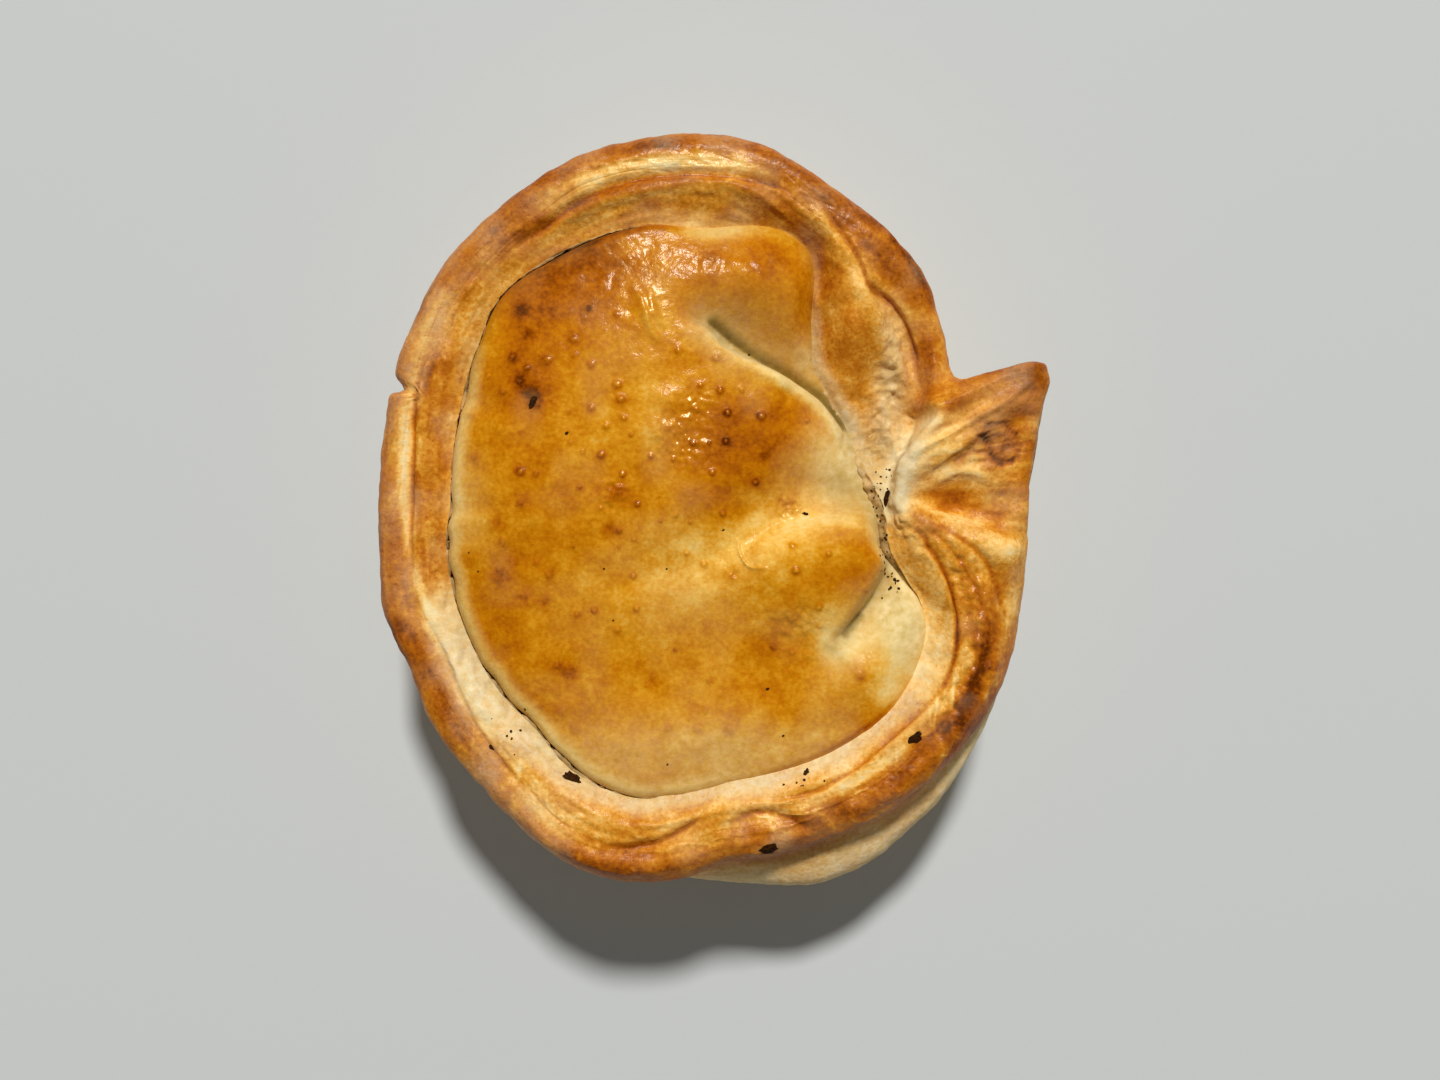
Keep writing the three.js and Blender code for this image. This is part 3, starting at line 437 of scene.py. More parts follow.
# Where the egg wash shines: x and y from the middle, the two spreads and the amount
LID_SHINE = [
    (-10, 38, 8, 4.5, 0.4), (4, 38, 6, 4, 0.28), (-7, 29, 4, 5.5, 0.6), (-1, 9.4, 5, 5, 0.6),
    (1.4, 14.6, 3, 3, 0.5), (17, -19.6, 6, 4, 0.6), (16, -1, 2.5, 2.5, 0.7), (10, -9.6, 4, 3, 0.6),
    (17, -7, 6, 3, -0.25), (25, 3, 6, 8, -0.3), (2, -40, 20, 6, -0.1), (-25, 15.6, 1.5, 1.5, -0.2),
]
CASE_SHINE = [
    (0, 54, 14, 3, 0.6), (24, 47, 6, 3, 0.4), (45.5, -19, 4, 9, 0.6), (40, -8, 5, 4, 0.3),
    (31.5, 10.5, 5, 6, 0.5), (32.5, 21, 2, 8, 0.4), (-18, -50, 12, 4, 0.25), (20, -50, 10, 4, 0.3),
]
# Browned spots of the lid: x and y from the middle, and the radius
LID_SPOTS = [
    (-12, 0.9, 1.9), (15.4, -1.2, 1.8), (-27, 30, 1.2), (-35.1, 13.5, 1.2), (-30, -12.2, 1.4),
    (-25.8, -15.6, 1.5), (-23, -16.4, 1.2), (-19, -27, 1.3), (-30.1, -3.9, 1.1), (-12.4, -5.1, 1.2),
    (6.5, -12.2, 1.1), (-6, -29.3, 1.1), (11.4, 6.6, 0.9), (13, 18, 0.9), (-25.6, 26.4, 1.2),
    (-24.9, 16.2, 1.2),
]
# Blisters: x and y from the middle
BLISTERS = [
    (-28.1, 22.3), (-22.4, 21.8), (-15.4, 21), (-18.3, 25), (-26.7, 18.5), (-11.3, 17.8), (-15.4, 14.1),
    (-10.7, 15.5), (-26.4, 4.1), (-26.6, -0.9), (-13.8, 6.7), (-22.1, -11.9), (4.1, 22), (4.8, 16.9),
    (18.7, 12.6), (6, 13.4), (11.3, 12.9), (5.7, 8.9), (10.4, 2.6), (3.6, 4), (16.7, -11.4), (16.1, -7.5),
    (21.8, -8.8), (-15, -17.6), (1.4, -36.2), (-3.4, -36.3), (6.3, -36.3), (-20.2, -33.7), (-18.3, -36.4),
    (27, -27.9),
]
# Strewn blisters: the middle of the field, its two half widths, how many and the seed
BLISTER_FIELDS = [
    (-12, 8, 24, 26, 80, 1), (-8, -26, 22, 11, 14, 2), (20, -20, 12, 10, 6, 3),
]
BLISTERS_APART = 2.3

# Numbers of points in the shown surfaces
CASE_SEGMENTS = 800
LID_SEGMENTS = 600
EAR_ANGLE = 10
EAR_CROWDING = 0.4
STROKE_STEPS = 24
STROKE_REACH = 3  # spreads
NOISE_CELLS = 24
TINY = 1e-9
ARC = 0.95  # millimetres a degree along the rim


def smooth(value, low, high):
    share = np.clip((value - low) / (high - low), 0, 1)
    return share * share * (3 - 2 * share)


def bell(distance, spread=1):
    return np.exp(-((distance / spread) ** 2))


def band(value, start, full, wane, end):
    """1 between two values, easing to 0 outside them."""
    return smooth(value, start, full) * (1 - smooth(value, wane, end))


def turn_from(middle, angle):
    """The turn from one angle to others, between -180 and 180."""
    return (angle - middle + 180) % 360 - 180


def quarter_round(share):
    return 1 - np.sqrt(1 - np.clip(1 - share, 0, 1) ** 2)


def lerp(start, end, share):
    return start + (end - start) * share


def around(table, angle):
    """A table of (angle, value) at an array of angles, as a smooth closed curve that never overshoots."""
    knots, values = np.array(table, float).T
    knots = np.concatenate([knots[-2:] - 360, knots, knots[:2] + 360])
    values = np.concatenate([values[-2:], values, values[:2]])
    rise = np.diff(values) / np.diff(knots)
    before, after = rise[:-1], rise[1:]
    rising = before * after > 0
    slope = np.zeros(len(knots))
    slope[1:-1][rising] = 2 * (before * after)[rising] / (before + after)[rising]
    wrapped = (angle - table[0][0]) % 360 + table[0][0]
    index = np.searchsorted(knots, wrapped, side="right") - 1
    span = knots[index + 1] - knots[index]
    t = (wrapped - knots[index]) / span
    return (
        (2 * t**3 - 3 * t**2 + 1) * values[index]
        + (t**3 - 2 * t**2 + t) * span * slope[index]
        + (3 * t**2 - 2 * t**3) * values[index + 1]
        + (t**3 - t**2) * span * slope[index + 1]
    )


def path_steps(points):
    """A smooth path through the points, as short straight steps."""
    knots = np.array(points, float)
    padded = np.vstack([2 * knots[0] - knots[1], knots, 2 * knots[-1] - knots[-2]])
    place = np.linspace(0, len(knots) - 1, STROKE_STEPS + 1)
    index = np.minimum(place.astype(int), len(knots) - 2)
    t = (place - index)[:, None]
    before, start, end, after = (padded[index + k] for k in range(4))
    square = 2 * before - 5 * start + 4 * end - after
    cubic = 3 * (start - end) + after - before
    return start + 0.5 * t * (end - before + t * (square + t * cubic))


def near_path(stroke, x, y):
    """How strongly a stroke works at (x, y), from 0 to 1, and its height there."""
    points, left, right = stroke
    steps = path_steps(points)
    reach = STROKE_REACH * max(left, right)
    low_x, low_y, _ = steps.min(axis=0) - reach
    high_x, high_y, _ = steps.max(axis=0) + reach
    reached = (x > low_x) & (x < high_x) & (y > low_y) & (y < high_y)
    x, y = x[reached], y[reached]
    nearest = np.full(x.shape, np.inf)
    side = np.zeros(x.shape)
    level = np.zeros(x.shape)
    for start, end in zip(steps[:-1], steps[1:]):
        along = end - start
        length = math.hypot(along[0], along[1])
        share = np.clip(((x - start[0]) * along[0] + (y - start[1]) * along[1]) / length**2, 0, 1)
        off_x = x - start[0] - share * along[0]
        off_y = y - start[1] - share * along[1]
        distance = np.hypot(off_x, off_y)
        closer = distance < nearest
        turn = (along[0] * off_y - along[1] * off_x) / (length * np.maximum(distance, TINY))
        nearest = np.where(closer, distance, nearest)
        side = np.where(closer, turn, side)
        level = np.where(closer, start[2] + share * along[2], level)
    strength = np.zeros(reached.shape)
    height = np.zeros(reached.shape)
    strength[reached] = bell(nearest, lerp(right, left, (1 + side) / 2))
    height[reached] = level
    return strength, height


def lift_by(strokes, x, y, near=near_path):
    """The sum of strokes at (x, y), or at (angle, distance in from the edge) where near is along_rim."""
    total = np.zeros(y.shape)
    for stroke in strokes:
        strength, height = near(stroke, x, y)
        total += strength * height
    return total


def along_rim(stroke, angle, inset):
    """near_path for a stroke along the rim, whose path is (angle, distance in from the edge, height)."""
    points, inward, outward = stroke
    middle = points[len(points) // 2][0]
    along = (turn_from(middle, angle) + middle) * ARC + 0 * inset
    path = [(at * ARC, depth, height) for at, depth, height in points]
    return near_path((path, inward, outward), along, inset)


def lobe_height(lobe, x, y):
    (at_x, at_y), height, (spread_along, spread_across), turn, flatness = lobe
    cosine, sine = math.cos(math.radians(turn)), math.sin(math.radians(turn))
    along = (x - at_x) * cosine + (y - at_y) * sine
    across = (y - at_y) * cosine - (x - at_x) * sine
    away = np.hypot(along / spread_along, across / spread_across)
    return height * np.exp(-(away**flatness))


def dabbed(dabs, x, y, column=4):
    """The sum of dabs at (x, y), weighted by one of their columns."""
    total = np.zeros(x.shape)
    for dab in dabs:
        at_x, at_y, wide, tall = dab[:4]
        total += dab[column] * bell(np.hypot((x - at_x) / wide, (y - at_y) / tall))
    return total


def lumps(points, size, seed):
    """Smooth noise between -1 and 1, in lumps of about the given size in millimetres."""
    cells = NOISE_CELLS
    lattice = np.random.default_rng(seed).uniform(-1, 1, (cells, cells, cells))
    scaled = points / size
    cell = np.floor(scaled).astype(int)
    t = scaled - cell
    t = t * t * (3 - 2 * t)
    total = np.zeros(points.shape[:-1])
    for corner in np.ndindex(2, 2, 2):
        weight = np.prod(np.where(np.array(corner), t, 1 - t), axis=-1)
        index = (cell + np.array(corner)) % cells
        total += weight * lattice[index[..., 0], index[..., 1], index[..., 2]]
    return total


def cracks(points, size, seed, width):
    """Winding lines about the given size apart: 1 on a line and 0 beside it."""
    return np.clip(1 - np.abs(lumps(points, size, seed)) / width, 0, 1)


def texture(points, layers):
    """The sum of layers of lumps, as (amount, size, seed), or of cracks, where a width follows."""
    total = 0
    for amount, size, seed, *width in layers:
        layer = cracks(points, size, seed, *width) if width else lumps(points, size, seed)
        total = total + amount * layer
    return total


def stretched(along, across, length, width):
    """Places at which noise comes in lumps of the given length and width."""
    return np.stack([along / length, across / width, 0 * along], axis=-1)


def polar(angle, radius, height):
    turn = np.radians(angle)
    return np.stack([radius * np.cos(turn), radius * np.sin(turn), height + 0 * radius], axis=-1)


# The case's surface, ring by ring
def edge_of(angle):
    return around(EDGE_RADIUS, angle) - NOTCH_DEPTH * bell(turn_from(NOTCH_ANGLE, angle), NOTCH_SPREAD)


def rim_marks(angle):
    """Radii of the seam, of the head of the rim's slope, of the outer lip and of the edge."""
    seam = around(SEAM_RADIUS, angle)
    edge = edge_of(angle)
    lip = edge - around(LIP_ROLL, angle)
    head = np.minimum(seam + around(SLOPE_END, angle), lip - LIP_ROOM)
    return {"seam": seam, "head": head, "lip": lip, "edge": edge}


def rim_top(angle, radius):
    seam = around(SEAM_RADIUS, angle)
    edge = edge_of(angle)
    low = around(SEAM_HEIGHT, angle)
    high = around(CREST_HEIGHT, angle)
    lip = around(LIP_ROLL, angle)
    climb = smooth(radius - seam, around(SLOPE_START, angle), around(SLOPE_END, angle))
    flat = polar(angle, radius, 0)
    fade = smooth(edge - radius, 0, lip) * smooth(radius - seam, 0, SEAM_FADE)
    strokes = lift_by(CASE_STROKES, flat[..., 0], flat[..., 1]) * fade
    height = low + (high - low) * climb - lip * quarter_round((edge - radius) / lip) + strokes
    return polar(angle, radius, height)


def bezier(points, share):
    a, b, c, d = points
    rest = 1 - share
    return rest**3 * a + 3 * rest**2 * share * b + 3 * rest * share**2 * c + share**3 * d


def wall_side(angle, share):
    edge = edge_of(angle)
    lip = around(LIP_ROLL, angle)
    belly = around(BELLY_RADIUS, angle)
    start = around(CREST_HEIGHT, angle) - lip
    low = around(BELLY_HEIGHT, angle)
    radius = bezier((edge, edge, belly, belly), share)
    height = bezier((start, start - LIP_PULL * lip, lerp(low, start, BELLY_PULL), low), share)
    return polar(angle, radius, height)


def foot_side(angle, share):
    belly = around(BELLY_RADIUS, angle)
    base = belly * BASE_SHARE
    radius = bezier((belly, belly, base + BASE_CORNER, base), share)
    low = around(BELLY_HEIGHT, angle)
    height = bezier((low, low / 2, 0, 0), share)
    return polar(angle, radius, height)


def under_base(angle, share):
    return polar(angle, (1 - share) * BASE_SHARE * around(BELLY_RADIUS, angle), 0)


def on_floor(angle, share):
    return polar(angle, share * around(SEAM_RADIUS, angle), RECESS_FLOOR)


def up_seam(angle, share):
    seam = around(SEAM_RADIUS, angle)
    top = rim_top(angle, seam)
    inward = np.maximum(around(SHOWN_GAP, angle) - around(LEDGE_CLEAR, angle), 0) * (1 - share)
    ledge = top[..., 2] - around(LEDGE_DROP, angle) * inward
    return polar(angle, seam - inward, lerp(RECESS_FLOOR, ledge, smooth(share, 0, SEAM_RISE)))


def over_rim(start, end):
    def stretch(angle, share):
        marks = rim_marks(angle)
        return rim_top(angle, lerp(marks[start], marks[end], share))
    return stretch


def over_lip(angle, share):
    marks = rim_marks(angle)
    return rim_top(angle, lerp(marks["lip"], marks["edge"], math.sin(share * math.pi / 2)))


# The lid's surface
def lid_edge(angle):
    return around(SEAM_RADIUS, angle) - around(SHOWN_GAP, angle)


def lid_top(angle, share):
    edge = lid_edge(angle)
    radius = share * lerp(LID_ROUND, edge, share**3)
    flat = polar(angle, radius, 0)
    x, y = flat[..., 0], flat[..., 1]
    shoulder = around(SEAM_HEIGHT, angle) + around(LID_LIFT, angle)
    middle = LID_LEVEL + sum(lobe_height(lobe, x, y) for lobe in LID_LOBES) + lift_by(LID_STROKES, x, y)
    inward = np.clip((edge - radius) / around(LID_SHOULDER, angle), 0, 1)
    climb = inward * (2 - inward)
    turned = around(LID_ROLL, angle)
    roll = turned * quarter_round((edge - radius) / turned)
    height = shoulder + (middle - shoulder) * climb - roll
    return polar(angle, radius, np.maximum(height, LID_UNDERSIDE + LID_LEAST))


def down_edge(angle, share):
    top = lid_top(angle, 1)
    top[..., 2] = lerp(top[..., 2], LID_UNDERSIDE, share)
    return top


def under_lid(angle, share):
    return polar(angle, (1 - share) * lid_edge(angle), LID_UNDERSIDE)


def skin(stretches, segments):
    """Rings of points over stretches (name, count, function), from the top pole to the bottom one."""
    turn = np.arange(segments) / segments * 2 * np.pi
    angle = EAR_ANGLE + np.degrees(turn - EAR_CROWDING * np.sin(turn))
    first = stretches[0][2]
    rings = [first(angle, 0.0)]
    names = [stretches[0][0]]
    for name, count, surface in stretches:
        for step in range(1, count + 1):
            rings.append(surface(angle, step / count))
            names.append(name)
    return angle, np.array(rings), np.array(names)


def new_piece(name, points, faces):
    mesh = bpy.data.meshes.new(name)
    mesh.from_pydata(points, [], faces)
    mesh.update()
    piece = bpy.data.objects.new(name, mesh)
    bpy.context.scene.collection.objects.link(piece)
    return piece


def skin_object(name, rings, sharp_ring):
    """A closed mesh over rings of points, from a single point to a single point, with one sharp ring."""
    count, segments = rings.shape[:2]
    inner = rings[1:-1].reshape(-1, 3)
    points = np.vstack([rings[0, :1], inner, rings[-1, :1]])
    step = np.arange(segments)
    after = (step + 1) % segments
    faces = [(0, 1 + a, 1 + b) for a, b in zip(step, after)]
    for ring in range(count - 3):
        upper = 1 + ring * segments
        lower = upper + segments
        faces += list(zip(upper + step, lower + step, lower + after, upper + after))
    last = 1 + (count - 3) * segments
    faces += [(len(points) - 1, last + b, last + a) for a, b in zip(step, after)]
    piece = new_piece(name, ((points + MIDDLE) * MM).tolist(), [tuple(map(int, face)) for face in faces])
    mesh = piece.data
    mesh.polygons.foreach_set("use_smooth", np.ones(len(mesh.polygons), bool))
    ends = np.empty(2 * len(mesh.edges), int)
    mesh.edges.foreach_get("vertices", ends)
    on_ring = (ends - 1) // segments == sharp_ring - 1
    mesh.edges.foreach_set("use_edge_sharp", on_ring.reshape(-1, 2).all(axis=1))
    mesh.update()
    return piece


def per_point(values):
    """Values on rings as values on the points of skin_object's mesh."""
    return np.concatenate([values[0, :1], values[1:-1].reshape(-1), values[-1, :1]])


def dress(piece, bake, raw, damp_and_shade, shine):
    """Gives a piece the attributes by which the pastry's material varies."""
    for name, values in (("bake", bake), ("raw", raw), ("damp_and_shade", damp_and_shade), ("shine", shine)):
        attribute = piece.data.attributes.new(name, "FLOAT", "POINT")
        attribute.data.foreach_set("value", per_point(np.clip(values, 0, 1)).astype(np.float32))


def normals_of(rings):
    """Outward normals at rings of points."""
    around_ring = np.roll(rings, -1, axis=1) - np.roll(rings, 1, axis=1)
    down = np.gradient(rings, axis=0)
    normal = np.cross(down, around_ring)
    length = np.linalg.norm(normal, axis=-1, keepdims=True)
    return normal / np.maximum(length, TINY)


# The stretches of the case's surface, with the number of rings in each
CASE_STRETCHES = [
    ("floor", 1, on_floor),
    ("seam", 8, up_seam),
    ("top", 40, over_rim("seam", "head")),
    ("top", 32, over_rim("head", "lip")),
    ("top", 14, over_lip),
    ("wall", 18, wall_side),
    ("foot", 8, foot_side),
    ("base", 2, under_base),
]
# Relief by kind of dough: layers of lumps as (height, size, seed), or of cracks where a width follows
RIM_RELIEF = {
    "baked": [(0.24, 7, 1), (0.18, 2.6, 2), (0.08, 1.1, 3)],
    "glazed": [(0.4, 1.5, 19), (0.3, 0.8, 20)],
    "crumbly": [(0.5, 1.8, 5), (0.35, 0.9, 6)],
    "flaky": [(0.35, 1.4, 5), (0.4, 0.75, 6), (0.25, 1.6, 37, 0.5)],
    "cracked": [(-0.45, 2.2, 7, 0.22), (-0.25, 1.3, 8, 0.25)],
    "floury": [(0.22, 1.7, 40), (0.16, 0.85, 41)],
}
WALL_RELIEF = [(0.4, 9, 9), (0.1, 1.6, 11)]
LEDGE_RELIEF = [(0.35, 1.1, 35), (0.2, 0.6, 42)]
# Streaks along the rim, fibres of the ear and layers of the wall: length and width, then the height and the
# browning, each with its seed
STREAKS = (7, 0.8, 0.1, 4, 0.08, 15)
FIBRES = (6, 1.1, 0.1, 18, 0.13, 32)
WALL_LAYERS = (16, 1.1, 0.14, 10, 0.12, 12)
# Layers of the rim and flakes on it: cracks, and where in from the edge they start, are full, wane and end
RIM_LAYER_SIZE = (18, 2.2)
RIM_LAYERS = [(0.6, 1, 33, 0.1), (0.42, 1 / 1.7, 34, 0.1)]
LAYER_BAND = (0.5, 2, 6, 8)
LAYER_DEPTH = 0.16
RIM_FLAKES = [(1, 4, 38, 0.1), (0.7, 2.6, 39, 0.1)]
FLAKE_BAND = (0, 2, 7, 10)
FLAKE_HEIGHT = 0.2
# Layers of noise in how browned, raw and damp the case is, the damp with painted shade on the ledge
CASE_MOTTLE = [(0.07, 9, 13), (0.08, 3, 14)]
CASE_RAW_MOTTLE = [(0.15, 4, 16)]
LEDGE_DAMP_AND_SHADE_MOTTLE = [(0.3, 0.9, 43)]
CRACK_BROWNING = [(0.3, 2.2, 7, 0.25)]
SCORCH_EDGE = [(0.5, 0.9, 17)]
# Where the ear is cracked, and the dough beside it smooth: x, y, the two spreads and the amount
CRACKED_PLACES = [(48.5, 8.8, 5.5, 4.2, 1)]
SMOOTH_PLACES = [(25.5, 23, 4.5, 8, 0.6)]
# The ear's line, where its fibres fade by turn and by distance, and where the rim is clear of it
EAR_LINE = 8
EAR_TURN = (12, 18)
EAR_START = (35, 40)
CLEAR_LINE = 15
CLEAR_TURN = (22, 42)
# Shares of the fine creases, and the spans over which features fade
RIM_CREASE_SHARE = 0.85
EAR_CREASE_SHARE = 0.8
CREASE_FADE = (0, 1)
CRUMB_FADE = (0, 3)
FLOUR_FADE = (0.4, 1.3)
SEAM_CLEAR = (0.2, 1.5)
FOOT_FADE = (0.5, 6)
DAMP_AND_SHADE_FADE = (0, 3)
LEDGE_DEPTH = 4
GROOVE = (7, 4)  # from the rim's inner layer to its outer one
# How much creases darken the rim, as browning and painted shade in their grooves, and how much layers,
# flakes, the seam and scorched spots brown it
CREASE_LINE = (0.4, 0.35)
CREASE_BROWNING_AND_SHADE = 0.3
RIM_CREASE_DEPTHS = (0.1, 0.9)
EAR_CREASE_DEPTHS = (0.1, 0.5)
LAYER_BROWNING = 0.12
FLAKE_BROWNING = -0.26
SEAM_BROWNING = -0.12
SEAM_PALE = (0, 3.5)
SCORCH_BROWNING = 0.24
# The wall from its belly to the lip, and the ledge
WALL_BAKE = 0.2
WALL_TOP_BAKE = -0.05
WALL_BAKE_RISE = (0.3, 1)
WALL_RAW = (0.75, 0.05)
WALL_RAW_FALL = (0.2, 0.9)
LEDGE_BAKE = 0.3
LEDGE_RAW = 0.6
# How much the egg wash shines, and how browned the pastry is where that is lost
CASE_GLAZE = 0.42
CASE_GLAZE_BURNT = (0.75, 0.95)


def case_places():
    """Where the case's points are: round the middle, in from the edge, out from the seam and up the wall."""
    angle, rings, names = skin(CASE_STRETCHES, CASE_SEGMENTS)
    at = SimpleNamespace(angle=angle, rings=rings)
    at.x, at.y, at.z = np.moveaxis(rings, -1, 0)
    at.radius = np.hypot(at.x, at.y)
    at.inset = around(RIM_RADIUS, angle) - at.radius
    at.along = angle * ARC + 0 * at.inset
    at.off_seam = at.radius - around(SEAM_RADIUS, angle)
    low = around(BELLY_HEIGHT, angle)
    at.up_wall = (at.z - low) / (around(CREST_HEIGHT, angle) - around(LIP_ROLL, angle) - low)
    at.top = (names == "top")[:, None]
    at.wall = np.isin(names, ["wall", "foot"])[:, None]
    at.ledge = (names == "seam")[:, None] * (at.z > around(SEAM_HEIGHT, angle) - LEDGE_DEPTH)
    at.seam_ring = np.flatnonzero(names == "seam")[-1]
    at.off_ear = smooth(np.abs(turn_from(CLEAR_LINE, angle)), *CLEAR_TURN)
    at.on_ear = (1 - smooth(np.abs(turn_from(EAR_LINE, angle)), *EAR_TURN)) * smooth(at.radius, *EAR_START)
    return at


def grain(along, across, length, width, height, relief_seed, browning, tone_seed):
    """Relief and browning in lumps of the given length and width."""
    places = stretched(along, across, length, width)
    return height * lumps(places, 1, relief_seed), browning * lumps(places, 1, tone_seed)


def add_textures(at):
    """Adds to the places what the dough is like there."""
    at.baked = 1
    at.glazed, _ = near_path(GLAZED_BAND, at.x, at.y)
    at.crumbly = around(CRUMBLY_EDGE, at.angle) * (1 - smooth(at.off_seam, *CRUMB_FADE))
    at.flaky = np.clip(dabbed(FLAKY_PLACES, at.x, at.y), 0, 1)
    at.cracked = dabbed(CRACKED_PLACES, at.x, at.y)
    past_raw = smooth(at.off_seam / around(RAW_WIDTH, at.angle), *FLOUR_FADE)
    at.floury = around(SLOPE_RAW, at.angle) * (1 - past_raw)
    layers = texture(stretched(at.along, at.inset, *RIM_LAYER_SIZE), RIM_LAYERS)
    at.layers = layers * at.off_ear * band(at.inset, *LAYER_BAND)
    flakes = texture(at.rings, RIM_FLAKES) * around(FLAKY_RIM, at.angle)
    at.flakes = flakes * at.off_ear * band(at.inset, *FLAKE_BAND)
    streaks = grain(at.along, at.inset, *STREAKS)
    fibres = grain(at.radius, at.along, *FIBRES)
    at.rim_grain = [streak * at.off_ear + fibre * at.on_ear for streak, fibre in zip(streaks, fibres)]
    at.wall_grain = grain(at.along, at.z, *WALL_LAYERS)


def case_relief(at):
    """How far the case's surface rises above its plain form."""
    rim = sum(getattr(at, kind) * texture(at.rings, layers) for kind, layers in RIM_RELIEF.items())
    creases = lift_by(RIM_CREASES, at.angle, at.inset, along_rim) * smooth(at.inset, *CREASE_FADE)
    rim = rim + RIM_CREASE_SHARE * creases + EAR_CREASE_SHARE * lift_by(EAR_CREASES, at.x, at.y)
    rim = rim + at.rim_grain[0] + FLAKE_HEIGHT * at.flakes - LAYER_DEPTH * at.layers
    rim = rim * (1 - dabbed(SMOOTH_PLACES, at.x, at.y))
    rim = rim * np.maximum(smooth(at.off_seam, *SEAM_CLEAR), np.minimum(at.crumbly, 1))
    wall = (texture(at.rings, WALL_RELIEF) + at.wall_grain[0]) * smooth(at.z, *FOOT_FADE)
    ledge = np.where(at.ledge, texture(at.rings, LEDGE_RELIEF), 0)
    return np.where(at.top, rim, np.where(at.wall, wall, ledge))


def rim_bake(at):
    """How browned the top of the rim is, apart from its mottling, with painted shade in its creases and
    painted light in a few pale strokes.
    """
    bake = lerp(around(INNER_BAKE, at.angle), around(OUTER_BAKE, at.angle), smooth(at.inset, *GROOVE))
    bake = bake + lift_by(RIM_TONES, at.angle, at.inset, along_rim) + lift_by(EAR_TONES, at.x, at.y)
    bake = bake + dabbed(CASE_DABS, at.x, at.y) + at.rim_grain[1]
    # Creases darker along their grooves: browning, and painted shade
    for points, _, _ in RIM_CREASES:
        line, height = along_rim((points, *CREASE_LINE), at.angle, at.inset)
        bake = bake + CREASE_BROWNING_AND_SHADE * line * smooth(-height, *RIM_CREASE_DEPTHS)
    for points, _, _ in EAR_CREASES:
        line, height = near_path((points, *CREASE_LINE), at.x, at.y)
        bake = bake + CREASE_BROWNING_AND_SHADE * line * smooth(-height, *EAR_CREASE_DEPTHS)
    bake = bake + SEAM_BROWNING * (1 - smooth(at.off_seam, *SEAM_PALE))
    bake = bake + LAYER_BROWNING * at.layers + FLAKE_BROWNING * at.flakes
    bake = bake + at.cracked * texture(at.rings, CRACK_BROWNING)
    ragged = texture(at.rings, SCORCH_EDGE)
    for at_x, at_y, size in RIM_SCORCHES:
        bake = bake + SCORCH_BROWNING * bell(np.hypot(at.x - at_x, at.y - at_y) / size + ragged)
    return bake


def case_bake(at):
    lip = around(OUTER_BAKE, at.angle) + WALL_TOP_BAKE
    wall = lerp(WALL_BAKE, lip, smooth(at.up_wall, *WALL_BAKE_RISE)) + at.wall_grain[1]
    bake = np.where(at.top, rim_bake(at), np.where(at.ledge, LEDGE_BAKE, wall))
    return bake + texture(at.rings, CASE_MOTTLE)


def case_raw(at):
    rim = at.floury + dabbed(CASE_DABS, at.x, at.y, 5)
    rim = rim + around(OUTER_RAW, at.angle) * smooth(at.inset, *GROOVE)
    wall = lerp(*WALL_RAW, smooth(at.up_wall, *WALL_RAW_FALL))
    return np.where(at.top, rim, np.where(at.ledge, LEDGE_RAW, wall)) + texture(at.rings, CASE_RAW_MOTTLE)


# Olive at the seam, beside the ear and on the ledge: damp dough, and painted shade in the gaps and hollows
def case_damp_and_shade(at):
    rim = around(SEAM_DAMP_AND_SHADE, at.angle) * (1 - smooth(at.off_seam, *DAMP_AND_SHADE_FADE)) + dabbed(DAMP_AND_SHADE_DABS, at.x, at.y)
    ledge = around(LEDGE_DAMP_AND_SHADE, at.angle) + texture(at.rings, LEDGE_DAMP_AND_SHADE_MOTTLE)
    return np.where(at.ledge, ledge, rim * at.top)


def build_case():
    at = case_places()
    add_textures(at)
    at.rings = at.rings + normals_of(at.rings) * case_relief(at)[..., None]
    bake = case_bake(at)
    shine = np.clip(CASE_GLAZE + dabbed(CASE_SHINE, at.x, at.y), 0, 1)
    piece = skin_object("baked_case", at.rings, at.seam_ring)
    dress(piece, bake, case_raw(at), case_damp_and_shade(at), shine * (1 - smooth(bake, *CASE_GLAZE_BURNT)))
    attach(piece, "root")
    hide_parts("pastry_case")
    return piece


# The stretches of the lid's surface, with the number of rings in each
LID_STRETCHES = [
    ("top", 150, lid_top),
    ("edge", 4, down_edge),
    ("under", 3, under_lid),
]
# Noise of the lid, in layers of (amount, size of the lumps, seed)
LID_ROUGHNESS = [(0.3, 9, 21), (0.1, 3, 22), (0.04, 1.2, 23)]
BUBBLES = [(0.5, 0.95, 24), (0.5, 0.6, 25)]
BLISTER_EDGE = [(0.2, 0.8, 36)]
SPOT_EDGE = [(0.5, 0.9, 26)]
SPOT_ROUGHNESS = [(0.2, 0.8, 27)]
LID_MOTTLE = [(0.07, 10, 28), (0.06, 3.4, 29), (0.05, 1.3, 30)]
LID_RAW_MOTTLE = [(0.1, 5, 31)]
# Blisters: radii and browning of those placed one by one and of those strewn, and their height in radii
PLACED_SIZES = (0.4, 0.65)
PLACED_BROWNING = (0.7, 1.2)
STREWN_SIZES = (0.25, 0.55)
STREWN_BROWNING = (0.4, 1.1)
BLISTER_SEED = 4
BLISTER_HEIGHT = 0.5
BLISTER_GLINT = 0.6
# Browning of a blister's ring, pale top and halo: amount, distance from its middle and spread, in radii
BLISTER_TONES = [(0.19, 0.9, 0.5), (-0.08, 0, 0.5), (0.08, 0, 2.2)]
# How browned the lid is without its dabs, and how much its spots add
LID_BAKE = 0.5
SPOT_BROWNING = 0.26
